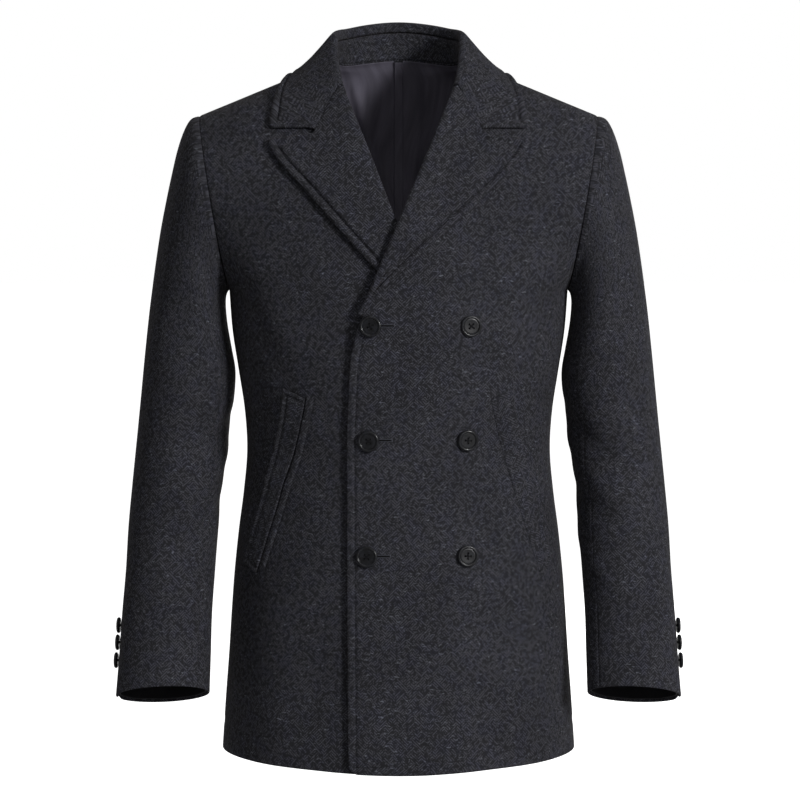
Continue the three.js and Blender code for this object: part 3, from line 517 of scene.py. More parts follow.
def spaced(width, first, last, count, anchor=None):
    """Distances across a width for each row: fixed ones near both ends, even ones between.

    With an anchor, a distance for each row, a third of the even ones turn into a fine band of
    columns that follows it."""
    width = np.asarray(width, float)[:, None]
    scale = np.minimum(1, width / (1.05 * (first[-1] + last[-1]) + 1e-6))
    start, stop = scale * first[-1], width - scale * last[-1]
    if anchor is None:
        middle = start + (stop - start) * np.linspace(0, 1, count + 2)[1:-1]
    else:
        even = np.linspace(0, 1, count // 2 + 2)[1:-1]
        band = np.clip(anchor[:, None], start - POCKET_STEPS[0] + 6, stop - POCKET_STEPS[-1] - 6)
        band = band + np.array(POCKET_STEPS)
        before = start + (band[:, :1] - start) * even
        after = band[:, -1:] + (stop - band[:, -1:]) * even
        middle = np.concatenate([before, band, after], axis=1)
    ends = scale * np.array(first), width - scale * np.array(last)[::-1]
    return np.concatenate([ends[0], middle, ends[1]], axis=1)


EDGE_STEPS = (0, 0.12, 0.5, 1.1, 2, 3.4, 5, 6.6, 7.7, 8.5, 9.2, 10, 11, 12.4, 15)
EDGE_COLUMN = EDGE_STEPS.index(9.2)  # the column that the edge stitching runs along
SEAM_STEPS = (0, 0.25, 0.8, 1.6, 3, 6)
POCKET_STEPS = (-14, -12, -10.8, -10, -9.3, -8.4, -7, -4.5, -2.4, -1.3, -0.7, -0.3, 0, 0.4, 1, 2.2, 6)


def sewn_x(z):
    """Where a height crosses the line that the pocket welt is sewn along, or that line drawn on."""
    fall, x = (-100, *(-np.array(WELT["sewn_z"])), 810), (100, *WELT["sewn_x"], 176)
    return np.mean([np.interp(-(z + step), fall, x) for step in (-12, -6, 0, 6, 12)], axis=0)


def panel_grid(face, inner_x, rows, first, last, count, side, thick, rise, follow=None):
    """The mid surface of a front or back, its directions, and each point's distance past the line
    that a band of its columns follows, if there is one."""
    row = rows[:, None]
    wrap = wrap_of(face, row)
    start = np.arcsin(share_at(face, inner_x(rows), rows) * np.sin(wrap[:, 0]))
    turns = start[:, None] + (wrap - start[:, None]) * np.linspace(0, 1, 140)
    shares = np.sin(turns) / np.sin(wrap)
    fine = body_row(face, shares, row)
    along = lengths(fine)[1]
    anchor = None
    if follow is not None:
        past = fine[..., 0] - follow(fine[..., 2])
        anchor = np.array([np.interp(0, p, a) for p, a in zip(past, along)])
    wanted = spaced(along[:, -1], first, last, count, anchor)
    share = np.stack([np.interp(w, a, s) for w, a, s in zip(wanted, along, shares)])
    surface = body(face, share, row + 0 * share, side)
    normals = grid_normals(surface, from_axis)
    lift = rise(surface[..., 0], surface[..., 2]) - thick / 2
    past = wanted - (0 if anchor is None else anchor[:, None])
    return surface + normals * lift[..., None], normals, past


# ---------- materials ----------
FLAT = {"noise_dimensions": "2D"}
SOFT = {"interpolation_type": "SMOOTHSTEP"}
COLOUR = {"data_type": "RGBA", "output": 2}


def linear(hex_colour):
    """A shader's linear colour, fully opaque, from an sRGB hex value."""
    parts = [int(hex_colour[i : i + 2], 16) / 255 for i in (1, 3, 5)]
    return (*(c / 12.92 if c <= 0.04045 else ((c + 0.055) / 1.055) ** 2.4 for c in parts), 1)


def add_node(tree, kind, inputs=None, output=0, **settings):
    """Adds a shader node with its settings and gives one output; an input given as a socket is
    linked, any other is set."""
    made = tree.nodes.new("ShaderNode" + kind)
    for name, value in settings.items():
        setattr(made, name, value)
    for key, value in (inputs or {}).items():
        if isinstance(value, bpy.types.NodeSocket):
            tree.links.new(value, made.inputs[key])
        else:
            made.inputs[key].default_value = value
    return made.outputs[output] if made.outputs else None


def new_material(name):
    material = bpy.data.materials.new(name)
    material.use_nodes = True
    material.node_tree.nodes.clear()
    return material, material.node_tree


def floats(tree, grain, degrees, cloth, seed):
    """Rows of parallel twill floats at an angle, broken into short runs: 0 to 1, soft ended."""
    pitch = cloth.float_pitch
    turned = add_node(tree, "Mapping", {"Vector": grain, "Rotation": (0, 0, math.radians(degrees))})
    wave = {
        "Vector": turned, "Scale": 2 * math.pi / 20 / pitch, "Distortion": 2.2, "Detail": 1.0,
        "Detail Scale": 0.75 / pitch,
    }
    wave = add_node(tree, "TexWave", wave, output=1, bands_direction="Y")
    drawn = {"Vector": turned, "Location": (seed, seed, 0), "Scale": (1 / cloth.float_length, 0.62 / pitch, 1)}
    drawn = add_node(tree, "Mapping", drawn)
    runs = {"Vector": drawn, "Scale": 1.0, "Detail": 1.0, "Roughness": 0.6}
    runs = add_node(tree, "TexNoise", runs, **FLAT)
    broken = add_node(tree, "MapRange", {0: runs, 1: 0.32, 2: 0.62}, **SOFT)
    return add_node(tree, "Math", {0: wave, 1: broken}, operation="MULTIPLY")


def fulled_wool(cloth):
    """Heavy fulled wool in a broken twill, brushed: short floats a shade paler than the charcoal
    ground lean one way, then the other, a few stray fibres catch the light and a fine nap pales it
    where it is seen edge-on. Real floats are under 1 mm apart, too fine to show, so they are drawn
    2.4 mm apart."""
    material, tree = new_material("fulled_wool_broken_twill")
    grain = add_node(tree, "UVMap", uv_map="grain")
    rising = floats(tree, grain, 45, cloth, 0.0)
    falling = floats(tree, grain, -45, cloth, 7.3)
    width = cloth.herringbone
    patch = add_node(tree, "Mapping", {"Vector": grain, "Scale": (1 / width, 1 / (2.2 * width), 1)})
    choice = add_node(tree, "TexNoise", {"Vector": patch, "Scale": 1.0, "Detail": 0.0}, **FLAT)
    way = add_node(tree, "MapRange", {0: choice, 1: 0.46, 2: 0.54}, **SOFT)
    twill = add_node(tree, "Mix", {0: way, 2: rising, 3: falling}, data_type="FLOAT")
    share = add_node(tree, "MapRange", {0: twill, 1: 0.08, 2: 0.8}, **SOFT)
    tone = {0: share, 6: linear(cloth.ground), 7: linear(cloth.float_colour)}
    tone = add_node(tree, "Mix", tone, **COLOUR)
    stray = add_node(tree, "Mapping", {"Vector": grain, "Rotation": (0, 0, 0.9), "Scale": (210, 640, 1)})
    stray = {"Vector": stray, "Scale": 1.0, "Detail": 1.0, "Distortion": 0.8}
    stray = add_node(tree, "TexNoise", stray, **FLAT)
    share = add_node(tree, "MapRange", {0: stray, 1: 0.66, 2: 0.82}, **SOFT)
    tone = add_node(tree, "Mix", {0: share, 6: tone, 7: linear(cloth.fleck)}, **COLOUR)
    # The dye takes a little bluer in places.
    dyed = {"Vector": grain, "Scale": 55.0, "Detail": 3.0, "Roughness": 0.65}
    dyed = add_node(tree, "TexNoise", dyed, **FLAT)
    share = add_node(tree, "MapRange", {0: dyed, 1: 0.42, 2: 0.66}, **SOFT)
    bluer = {0: 1.0, 6: tone, 7: (0.97, 0.98, 1.07, 1)}
    bluer = add_node(tree, "Mix", bluer, blend_type="MULTIPLY", **COLOUR)
    tone = add_node(tree, "Mix", {0: share, 6: tone, 7: bluer}, **COLOUR)
    worn = {"Vector": grain, "Scale": 14.0, "Detail": 4.0, "Roughness": 0.6}
    worn = add_node(tree, "TexNoise", worn, **FLAT)
    worn = add_node(tree, "MapRange", {0: worn, 1: 0.3, 2: 0.7, 3: 0.88, 4: 1.12})
    tone = add_node(tree, "Mix", {0: 1.0, 6: tone, 7: worn}, blend_type="MULTIPLY", **COLOUR)
    fuzz = add_node(tree, "TexNoise", {"Vector": grain, "Scale": 1500.0, "Detail": 2.0}, **FLAT)
    height = add_node(tree, "Math", {0: fuzz, 1: 0.5, 2: twill}, operation="MULTIPLY_ADD")
    bump = add_node(tree, "Bump", {"Strength": 0.35, "Distance": 0.0005, "Height": height})
    shader = {
        "Base Color": tone, "Roughness": 0.95, "IOR": 1.45, "Specular IOR Level": 0.1,
        "Sheen Weight": cloth.nap, "Sheen Roughness": 0.4, "Sheen Tint": linear("#b4aaa2"), "Normal": bump,
    }
    add_node(tree, "OutputMaterial", {0: add_node(tree, "BsdfPrincipled", shader)})
    return material


def woven_satin(lining):
    """Viscose satin for the body: its long floats give soft broad highlights, faintly streaked."""
    return satin("viscose_satin_woven", lining.colour, lining.shade)


def painted_cuff_shade_satin(lining):
    """The same satin in near black, for the sleeves: the near-black colour is painted shade that darkens the
    inside of a cuff.
    """
    return satin("viscose_sleeve_satin_woven", lining.sleeve, lining.sleeve)


def satin(name, colour_, shade):
    """Threads of 0.1 mm are drawn as 0.5 mm streaks along the warp so that they show, and broad
    streaks of painted shade and painted light darken and pale it like soft creases."""
    material, tree = new_material(name)
    grain = add_node(tree, "UVMap", uv_map="grain")
    drawn = add_node(tree, "Mapping", {"Vector": grain, "Scale": (2000, 60, 1)})
    warp = add_node(tree, "TexNoise", {"Vector": drawn, "Scale": 1.0, "Detail": 2.0}, **FLAT)
    tone = add_node(tree, "Mix", {0: warp, 6: linear(colour_), 7: linear(shade)}, **COLOUR)
    # Painted shade and painted light: broad streaks darken and pale the satin's colour as soft creases would
    # shade it.
    painted_crease_scale = add_node(tree, "Mapping", {"Vector": grain, "Scale": (70, 9, 1)})
    painted_crease_shade = add_node(tree, "TexNoise", {"Vector": painted_crease_scale, "Scale": 1.0, "Detail": 2.0}, **FLAT)
    painted_crease_shade = add_node(tree, "MapRange", {0: painted_crease_shade, 1: 0.3, 2: 0.7, 3: 0.8, 4: 1.18})
    tone = add_node(tree, "Mix", {0: 1.0, 6: tone, 7: painted_crease_shade}, blend_type="MULTIPLY", **COLOUR)
    bump = add_node(tree, "Bump", {"Strength": 0.15, "Distance": 0.0002, "Height": warp})
    shader = {
        "Base Color": tone, "Roughness": 0.55, "IOR": 1.5, "Specular IOR Level": 0.3,
        "Sheen Weight": 0.1, "Sheen Roughness": 0.3, "Sheen Tint": linear("#8d8a9c"), "Normal": bump,
    }
    add_node(tree, "OutputMaterial", {0: add_node(tree, "BsdfPrincipled", shader)})
    return material


def polished_polyester(buttons):
    """Cast polyester, turned and tumble polished: near black with a faint horn-like cloud, a clear
    skin and fine tumbling marks that break the highlight."""
    material, tree = new_material("cast_polyester_polished")
    place = add_node(tree, "TexCoord", output="Object")
    cloud = {"Vector": place, "Scale": 160.0, "Detail": 3.0, "Distortion": 1.2}
    cloud = add_node(tree, "TexNoise", cloud)
    cloud = add_node(tree, "MapRange", {0: cloud, 1: 0.35, 2: 0.7}, **SOFT)
    tone = {0: cloud, 6: linear(buttons.colour), 7: linear(buttons.cloud)}
    tone = add_node(tree, "Mix", tone, **COLOUR)
    marks = add_node(tree, "TexNoise", {"Vector": place, "Scale": 2600.0, "Detail": 2.0})
    rough = add_node(tree, "MapRange", {0: marks, 3: 0.24, 4: 0.4})
    bump = add_node(tree, "Bump", {"Strength": 0.08, "Distance": 0.0001, "Height": marks})
    shader = {
        "Base Color": tone, "Roughness": rough, "IOR": 1.54, "Specular IOR Level": 0.3,
        "Coat Weight": 0.08, "Coat Roughness": 0.12, "Normal": bump,
    }
    add_node(tree, "OutputMaterial", {0: add_node(tree, "BsdfPrincipled", shader)})
    return material


def spun_thread(stitching):
    """Spun polyester sewing thread, two-ply and nearly black: dull, so it sinks into the wool."""
    return twisted("spun_polyester_thread", stitching.colour, stitching.light)


def silk_twist(stitching):
    """Buttonhole twist, a thicker charcoal thread: its purls catch the light beside the slit."""
    return twisted("silk_buttonhole_twist", stitching.purl, stitching.purl_light)


def twisted(name, low, high):
    """A dull thread whose slant twist shows as fine bands."""
    material, tree = new_material(name)
    place = add_node(tree, "TexCoord", output="Object")
    twist = add_node(tree, "TexNoise", {"Vector": place, "Scale": 1800.0, "Detail": 1.0})
    tone = add_node(tree, "Mix", {0: twist, 6: linear(low), 7: linear(high)}, **COLOUR)
    bump = add_node(tree, "Bump", {"Strength": 0.3, "Distance": 0.0001, "Height": twist})
    shader = {"Base Color": tone, "Roughness": 0.9, "Specular IOR Level": 0.15, "Normal": bump}
    add_node(tree, "OutputMaterial", {0: add_node(tree, "BsdfPrincipled", shader)})
    return material


def shared(maker, settings):
    """A material made once and used by every piece of that finish."""
    found = MATERIALS.get(maker.__name__)
    if found is None:
        found = MATERIALS[maker.__name__] = maker(settings)
    return found


MATERIALS = {}
EDGE_RUNS = {}  # the lines that each turned edge is stitched along, noted as the edge is made


# ---------- settings ----------
def length(name, description, default, **more):
    return bpy.props.FloatProperty(
        name=name, description=description, default=default, unit="LENGTH", precision=5, **more
    )


def colour(name, description, default):
    return bpy.props.StringProperty(name=name, description=description, default=default)


class ClothSettings(bpy.types.PropertyGroup):
    """The wool and its edge stitching"""

    ground: colour("Ground", "Darkest wool between the floats, sRGB hex", "#262629")
    float_colour: colour("Floats", "The twill's floats, sRGB hex", "#424248")
    fleck: colour("Flecks", "Pale stray fibres, sRGB hex", "#5c5e65")
    float_length: length("Float length", "Length of one twill float", 0.0055, min=0.001)
    float_pitch: length("Float pitch", "Distance between rows of floats", 0.0024, min=0.0003)
    herringbone: length(
        "Herringbone", "Width of a patch where the floats lean one way", 0.0062, min=0.002
    )
    nap: bpy.props.FloatProperty(
        name="Nap", description="Strength of the brushed surface's sheen", default=0.08, min=0, max=1,
        subtype="FACTOR",
    )
    edge_inset: length("Edge stitching", "Distance of the edge stitching from a turned edge", 0.0092)
    groove: length("Groove", "Depth that the edge stitching sinks", 0.0019)


class LiningSettings(bpy.types.PropertyGroup):
    """The satin linings"""

    colour: colour("Lining", "The satin's colour, sRGB hex", "#625f6b")
    shade: colour("Warp shade", "The satin's darker warp streaks, sRGB hex", "#53505b")
    # Painted shade: the sleeve lining's near-black colour darkens the inside of each cuff.
    sleeve: colour("Sleeve lining", "The near-black satin in the sleeves, sRGB hex", "#131216")


class ButtonSettings(bpy.types.PropertyGroup):
    """The polyester buttons"""

    colour: colour("Button", "The button's colour, sRGB hex", "#0a0a0d")
    cloud: colour("Cloud", "The faint horn-like cloud, sRGB hex", "#1a1b20")
    front_radius: length("Front button radius", "Half the front buttons' width", 0.0122)
    cuff_radius: length("Cuff button radius", "Half the cuff buttons' width", 0.0091)


class StitchSettings(bpy.types.PropertyGroup):
    """The threads"""

    colour: colour("Thread", "The thread's colour, sRGB hex", "#0b0b0d")
    light: colour("Thread highlight", "The lighter ply, sRGB hex", "#18181b")
    purl: colour("Purls", "The buttonhole twist, sRGB hex", "#34353b")
    purl_light: colour("Purl highlight", "The twist's lighter ply, sRGB hex", "#4c4d54")
    pitch: length("Stitch length", "Length of one stitch with its gap", 0.0034)
    radius: length("Thread radius", "Half the thread's width", 0.00028)


class StageSettings(bpy.types.PropertyGroup):
    """The floor and camera"""

    distance: length("Camera distance", "Distance of the camera from the coat's middle", 3.4)
    lens: bpy.props.FloatProperty(
        name="Lens", description="Focal length for a 36 mm sensor", default=131.9, min=20, unit="CAMERA"
    )
    elevation: bpy.props.FloatProperty(
        name="Camera elevation", description="Angle of the camera above level",
        default=math.radians(3), subtype="ANGLE", unit="ROTATION",
    )
    floor_drop: length("Floor", "Depth of the floor under the neck points", 1.02)


def settings_of(context, group):
    return getattr(context.scene, "coat_" + group)


# ---------- fronts and back ----------
# Body rows, closer together at the shoulder, the neck and the hem.
HEM_ROWS = [17.7, 17.74, 17.78, 17.81, 17.835, 17.86, 17.9, 17.94, 17.965, 17.98, 17.99, 17.997, HEM_ROW]
NECK_ROWS = [1.7, 1.78, 1.85, 1.9, 1.94, 1.97, 1.985, 1.995, NECK_ROW, 2.012, 2.03, 2.06, 2.1]
FRONT_ROWS = np.concatenate([
    [0.0, 0.012, 0.04, 0.09, 0.16], np.linspace(0.26, 2, 13)[:-1], np.linspace(2, 7, 46)[:-1],
    np.linspace(7, 17.7, 116)[:-1], HEM_ROWS,
])
BACK_ROWS = np.concatenate([
    [0.0, 0.015, 0.05, 0.1, 0.18], np.linspace(0.3, 1.7, 12)[:-1], NECK_ROWS,
    np.linspace(2.2, 7, 44)[:-1], np.linspace(7, 17.7, 110)[:-1], HEM_ROWS,
])
POCKET_RELIEF = {"left": 0.27, "right": 1.0}  # how far each pocket's seam and strip stand out


def make_front(name, side, cloth, material):
    inset, depth = cloth.edge_inset / MM, FRONT_GROOVE * cloth.groove / MM
    grid, normals, past = panel_grid(
        "front", lambda row: front_inner_x(row, side), FRONT_ROWS, EDGE_STEPS, SEAM_STEPS, 48, side, CLOTH,
        lambda x, z: front_rise(side, x, z), sewn_x,
    )
    margin = margins(grid)
    straight = smooth(grid[..., 2], -285, -320)
    corner = np.clip(1 - (margin["left"] + margin["last"]) / 12, 0, 1) ** 2
    grid = grid + corner[..., None] * np.array([5.0, 0.0, 5.0])
    edges = border(margin, 1.5, 4.5, 1.6, 1.5)
    thread = stitched(margin["left"], inset, depth) * straight
    # Along the pocket the seam sinks in, and the turnings under it puff up a stitched strip.
    within = smooth(grid[..., 2], -386, -390) * smooth(grid[..., 2], -586, -581) * POCKET_RELIEF[name]
    strip = 1.3 * smooth(past, -10, -7.5) * smooth(past, -0.35, -1.6)
    seams = 0.5 * np.exp(-(((past + 10) / 0.9) ** 2)) + 1.6 * np.exp(-(((past - 0.1) / 0.75) ** 2))
    hem = stitched(margin["last"], inset, depth) * smooth(margin["left"], 60, 40)
    up = edges * (CLOTH / 2 + thread + hem + hem_crease(margin["last"]) + within * (strip - seams))
    low = edges * (CLOTH / 2 + 0.5 * straight * smooth(margin["left"], 60, 20) * (side < 0))
    across = lengths(grid)[1] + grid[:, :1, 0]
    uv = np.stack([across * side + 300, -grid[..., 2]], axis=-1)
    made = shell(
        "coat_front_" + name, grid, normals, up, low, uv, material, side, stands_for=("front_" + name,)
    )
    lower = grid[:, EDGE_COLUMN, 2] < -318
    sunk = CLOTH / 2 - depth
    note_run("front_" + name, side, grid[lower, EDGE_COLUMN], normals[lower, EDGE_COLUMN], sunk)
    row = np.argmin(np.abs(margin["last"][:, EDGE_COLUMN + 4] - inset))
    bottom = margin["left"][row] < 46
    note_run("front_" + name, side, grid[row, EDGE_COLUMN:][bottom[EDGE_COLUMN:]],
             normals[row, EDGE_COLUMN:][bottom[EDGE_COLUMN:]], sunk)


def make_back(name, side, material):
    grid, normals, _ = panel_grid(
        "back", back_inner_x, BACK_ROWS, SEAM_STEPS, SEAM_STEPS, 50, side, CLOTH, lambda x, z: 0 * x
    )
    margin = margins(grid)
    edges = border(margin, 2, 2, 2, 1.5)
    across = lengths(grid)[1] + grid[:, :1, 0]
    uv = np.stack([across * side - 400, -grid[..., 2]], axis=-1)
    up = edges * (CLOTH / 2 + hem_crease(margin["last"]))
    made = shell(
        "coat_back_" + name, grid, normals, up, edges * CLOTH / 2, uv, material, side,
        stands_for=("back_" + name,),
    )


# ---------- lapels ----------
def notch_pull(share):
    """How much of the notch's corner a point of the end row takes on: all of it at the notch."""
    return np.where(share < NOTCH_SHARE, share / NOTCH_SHARE, (1 - share) / (1 - NOTCH_SHARE))


def lapel_grid(side, places):
    """The lapel's mid surface: a quarter roll out of the front's edge, then its flat face."""
    at = {column: spline(values, places) for column, values in LAPEL.items()}
    roll_x, roll_z = front_edge_x(at["roll_z"]), at["roll_z"]
    belly = RIGHT_BELLY * smooth(places, 2.2, 7.4) * smooth(places, 10, 7.6) * (side < 0)
    edge_x, edge_z = at["edge_x"], at["edge_z"] - belly
    curl = at["curl"] if side > 0 else at["pressed"]
    top = on_front(side, roll_x, roll_z)
    across = unit(on_front(side, roll_x + 1, roll_z - 0.25) - top)
    normal = body_normal("front", roll_x, row_at("front", roll_x, roll_z, side), side)
    centre = top - 0.9 * across + normal * (curl - CLOTH / 2)[:, None]
    turned = [
        centre + (normal * math.sin(a) - across * math.cos(a)) * curl[:, None]
        for a in np.radians([-90, -70, -50, -30, -10, 10, 30, 50])
    ]
    width = np.hypot(edge_x - roll_x, edge_z - roll_z)
    share = spaced(width, (0, 3), EDGE_STEPS, 30) / width[:, None]
    pull_x = NOTCH["lapel_x"] - roll_x[0] - NOTCH_SHARE * (edge_x[0] - roll_x[0])
    pull_z = NOTCH["lapel_z"] - roll_z[0] - NOTCH_SHARE * (edge_z[0] - roll_z[0])
    bend = at["bend"][:, None] * notch_pull(share)
    slit = NOTCH["slit"] * (1 - share) + NOTCH["gape"] * smooth(share, NOTCH_SHARE, NOTCH_SHARE + 0.06)
    slit = slit * (share > NOTCH_SHARE) * smooth(places, 0.3, 0)[:, None]
    x = roll_x[:, None] + share * (edge_x - roll_x)[:, None] + bend * pull_x
    z = roll_z[:, None] + share * (edge_z - roll_z)[:, None] + bend * pull_z - slit
    reach = np.hypot(x - x[:1, -1:], z - z[:1, -1:])
    tip = np.clip(1 - reach / 9, 0, 1) ** 2 * 3.4
    x, z = x - tip, z - 0.1 * tip
    rest = TURNED / 2 + AIR + 0.3
    crest = (2 * curl - CLOTH / 2)[:, None]
    soft = 1.5 * np.exp(-(((share - 0.55) / 0.3) ** 2)) * smooth(places, 0, 3)[:, None]
    # Above the notch the first row runs on under the collar, to meet it at the gorge seam.
    tuck = smooth(places, 0.3, 0)[:, None] * (1 - smooth(share, NOTCH_SHARE - 0.1, NOTCH_SHARE))
    z = z + 2.2 * tuck
    lift = LAPEL_LIFT * share**3 - 0.8 * tuck
    height = rest + (crest - rest) * (1 - smooth(share, 0, 0.6)) + lift + soft * (side > 0)
    flat = on_front(side, x, z, height)
    return np.concatenate([np.stack(turned, axis=1), flat], axis=1)


def make_lapel(name, side, cloth, material):
    inset, depth = cloth.edge_inset / MM, LAPEL_GROOVE * cloth.groove / MM
    last = len(LAPEL["roll_z"]) - 1
    steps = (0, 0.004, 0.016, 0.04, 0.08, 0.14, 0.2, 0.27, 0.32, 0.36, 0.4, 0.45, 0.5, 0.58)
    ends = [last - 0.05, last - 0.02, last]
    places = np.concatenate([steps, np.linspace(0.66, last - 0.1, 78), ends])
    grid = lapel_grid(side, places)
    normals = grid_normals(grid, from_axis)
    margin = margins(grid)
    gorge = smooth(grid[..., 0], NOTCH["lapel_x"] - 4, NOTCH["lapel_x"] + 6)
    edges = border(margin, 1.2, 1.9, 0.8 + 1.1 * gorge, 1.7)
    thread = collar_thread(margin, margin["first"], gorge, inset, depth)
    turned = margin["left"] - margin["left"][:, 7:8]
    uv = np.stack([(grid[..., 0] + np.minimum(turned, 0)) * side + 900, -grid[..., 2]], axis=-1)
    up, low = edges * (TURNED / 2 + thread), edges * TURNED / 2
    made = shell(
        "coat_lapel_" + name, grid, normals, up, low, uv, material, side, stands_for=("lapel_" + name,)
    )
    column = -1 - EDGE_COLUMN
    note_run("lapel_" + name, side, grid[12:-3, column], normals[12:-3, column], TURNED / 2 - depth)


# ---------- collar ----------
def seam_point(seam):
    row = np.abs(seam)
    x = np.where(seam < 0, back_inner_x(row), front_inner_x(row))
    behind = body("back", share_at("back", x, row), row)
    ahead = body("front", share_at("front", x, row), row)
    return np.where((seam < 0)[..., None], behind, ahead)


def on_body(x, row, height):
    """A point over the shoulders; a negative row lies on the back."""
    level = np.abs(row)
    spots = []
    for face in ("back", "front"):
        place = body(face, share_at(face, x, level), level)
        spots.append((place, body_normal(face, x, level)))
    behind = (row < 0)[..., None]
    place, normal = (np.where(behind, b, f) for b, f in zip(*spots))
    return place + normal * np.asarray(height)[..., None]


def lift_clear(points, height):
    """Moves points out to a height over the body where they lie lower."""
    rows = np.linspace(-3.2, 3.2, 161)
    x = points[..., 0]
    flush = np.zeros(x.shape)
    gap, nearest = flush + np.inf, flush
    for row in rows:
        away = np.linalg.norm(on_body(x, flush + row, flush) - points, axis=-1)
        closer = away < gap
        gap, nearest = np.where(closer, away, gap), np.where(closer, row, nearest)
    place = on_body(x, nearest, flush)
    normal = on_body(x, nearest, flush + 1) - place
    over = np.sum((points - place) * normal, axis=-1)
    return points + normal * np.maximum(height - over, 0)[..., None]


def collar_frame(at):
    """The seam points and the outward and upward directions that each collar section is drawn in."""
    seam = seam_point(at["seam"])
    one = np.array([1.0])
    chest = body_normal("front", front_inner_x(one), one)[0]
    up = unit((1 - at["upright"])[:, None] * np.array([0, 0, 1.0]) + at["upright"][:, None] * chest)
    heading = point(np.sin(np.radians(at["out"])), np.cos(np.radians(at["out"])), 0)
    out = unit(heading - up * np.sum(heading * up, axis=-1, keepdims=True))

    def place(outward, height):
        return seam + out * np.asarray(outward)[..., None] + up * np.asarray(height)[..., None]

    return place, out


def collar_columns(places):
    return {column: spline(values, places) for column, values in COLLAR.items()}


def fall_grid(places):
    """Half of the collar's fall: up from the stand, over the crest and down to its outer edge."""
    at = collar_columns(places)
    place, out = collar_frame(at)
    middle = at["top"] - TURNED / 2 - COLLAR_CURL
    reach = places / places[-1]
    foot = place(-at["lean"], at["join"] + 0.15)
    turned = [foot]
    for share in (0.33, 0.66):
        turned.append(place(-at["lean"], at["join"] + 0.15 + share * (middle - at["join"])))
    for degrees in (0, 20, 40, 60, 90):
        turn = math.radians(degrees)
        outward = COLLAR_CURL * (1 - math.cos(turn)) - at["lean"]
        turned.append(place(outward, middle + COLLAR_CURL * math.sin(turn)))
    rest = TURNED / 2 + AIR + 0.6
    height = np.full(places.shape, rest)
    edge = on_body(at["edge_x"], at["edge_row"], height)
    near = on_body(at["edge_x"] * 0.94, at["edge_row"] * 0.94, height)
    crest = turned[-1]
    span = np.linalg.norm(crest - edge, axis=-1)
    share = spaced(span, (0, 2), EDGE_STEPS, 18) / span[:, None]
    t = share[..., None]
    leave = (out * span[:, None] * 0.2)[:, None]
    arrive = (unit(edge - near) * span[:, None] * 1.05)[:, None]
    curve = (
        crest[:, None] * (2 * t**3 - 3 * t**2 + 1)
        + leave * (t**3 - 2 * t**2 + t)
        + edge[:, None] * (3 * t**2 - 2 * t**3)
        + arrive * (t**3 - t**2)
    )
    notch_x = np.array([NOTCH["collar_x"]])
    notch = on_body(notch_x, row_at("front", notch_x, NOTCH["collar_z"]), rest)
    straight = crest + (edge - crest) * NOTCH_SHARE
    bend = smooth(reach, 0.7, 1) ** 2
    curve = curve + (notch - straight)[:, None] * (bend[:, None] * notch_pull(share))[..., None]
    before = share < NOTCH_SHARE
    leg = np.where(before, share / NOTCH_SHARE, (share - NOTCH_SHARE) / (1 - NOTCH_SHARE))[..., None]
    begin = np.where(before[..., None], crest[:, None], notch[:, None] + 0 * curve)
    end = np.where(before[..., None], notch[:, None] + 0 * curve, edge[:, None])
    final = begin + (end - begin) * leg
    gape = NOTCH["gape"] * smooth(leg[..., 0], 0, 0.12)
    slit = NOTCH["slit"] * (1 - leg[..., 0]) + gape
    final[..., 2] += np.where(before, -0.9 * smooth(leg[..., 0], 1, 0.8), slit)
    settle = smooth(reach, 0.93, 1)[:, None, None]
    curve = curve * (1 - settle) + final * settle
    clear = rest + 0.4 * (1 - share) * (1 - settle[..., 0]) + COLLAR_LIFT * share**3
    curve = lift_clear(curve, clear)
    return np.concatenate([np.stack(turned, axis=1), curve], axis=1)


def both_sides(grid):
    mirrored = grid[1:][::-1] * np.array([-1.0, 1.0, 1.0])
    return np.concatenate([mirrored, grid])


def make_collar(cloth, material):
    inset, depth = cloth.edge_inset / MM, cloth.groove / MM
    last = len(COLLAR["seam"]) - 1
    ends = last - np.array([0.3, 0.22, 0.16, 0.11, 0.07, 0.04, 0.02, 0.008, 0])
    places = np.concatenate([np.linspace(0, last - 0.38, 58), ends])
    half = fall_grid(places)
    reach = np.linalg.norm(half - half[-1:, -1:], axis=-1)
    tip = np.clip(1 - reach / 9, 0, 1) ** 2 * 3.2
    half[..., 0] -= 0.7 * tip
    half[..., 2] += 0.5 * tip
    grid = both_sides(half)
    normals = grid_normals(grid, from_axis)
    margin = margins(grid)
    notch = smooth(np.abs(grid[..., 0]), NOTCH["collar_x"] - 4, NOTCH["collar_x"] + 6)
    front = np.minimum(margin["first"], margin["last"])
    edges = rounded(margin["right"], 1.9) * rounded(margin["left"], 1.7)
    edges = edges * rounded(front, 0.8 + 1.1 * notch)
    thread = collar_thread(margin, front, notch, inset, depth)
    down, across = lengths(grid)
    middle = len(places) - 1
    uv = np.stack([down - down[middle : middle + 1], across + 1500], axis=-1)
    up, low = edges * (TURNED / 2 + thread), edges * TURNED / 2
    made = shell("coat_collar_fall", grid, normals, up, low, uv, material, stands_for=("collar_fall",))
    column = -1 - EDGE_COLUMN
    note_run("collar", 1, grid[8:-8, column], normals[8:-8, column], TURNED / 2 - depth)
    stand_places = np.linspace(0, last - 1.35, 54)
    at = collar_columns(stand_places)
    place, _ = collar_frame(at)
    steps = np.array([0, 0.02, 0.08, 0.2, 0.4, 0.6, 0.8, 0.92, 0.98, 1])
    heights = STAND_FOOT + (at["join"] - STAND_FOOT)[:, None] * steps
    half = np.stack([place(-at["lean"] * h / at["join"], h) for h in heights.T], axis=1)
    grid = both_sides(half)
    normals = grid_normals(grid, from_axis)
    half_thick = border(margins(grid), 1.4, 1.8, 1.5, 1.5) * CLOTH / 2
    down, across = lengths(grid)
    uv = np.stack([down, across + 1800], axis=-1)
    made = shell(
        "coat_collar_stand", grid, normals, half_thick, half_thick, uv, material, stands_for=("collar_stand",)
    )


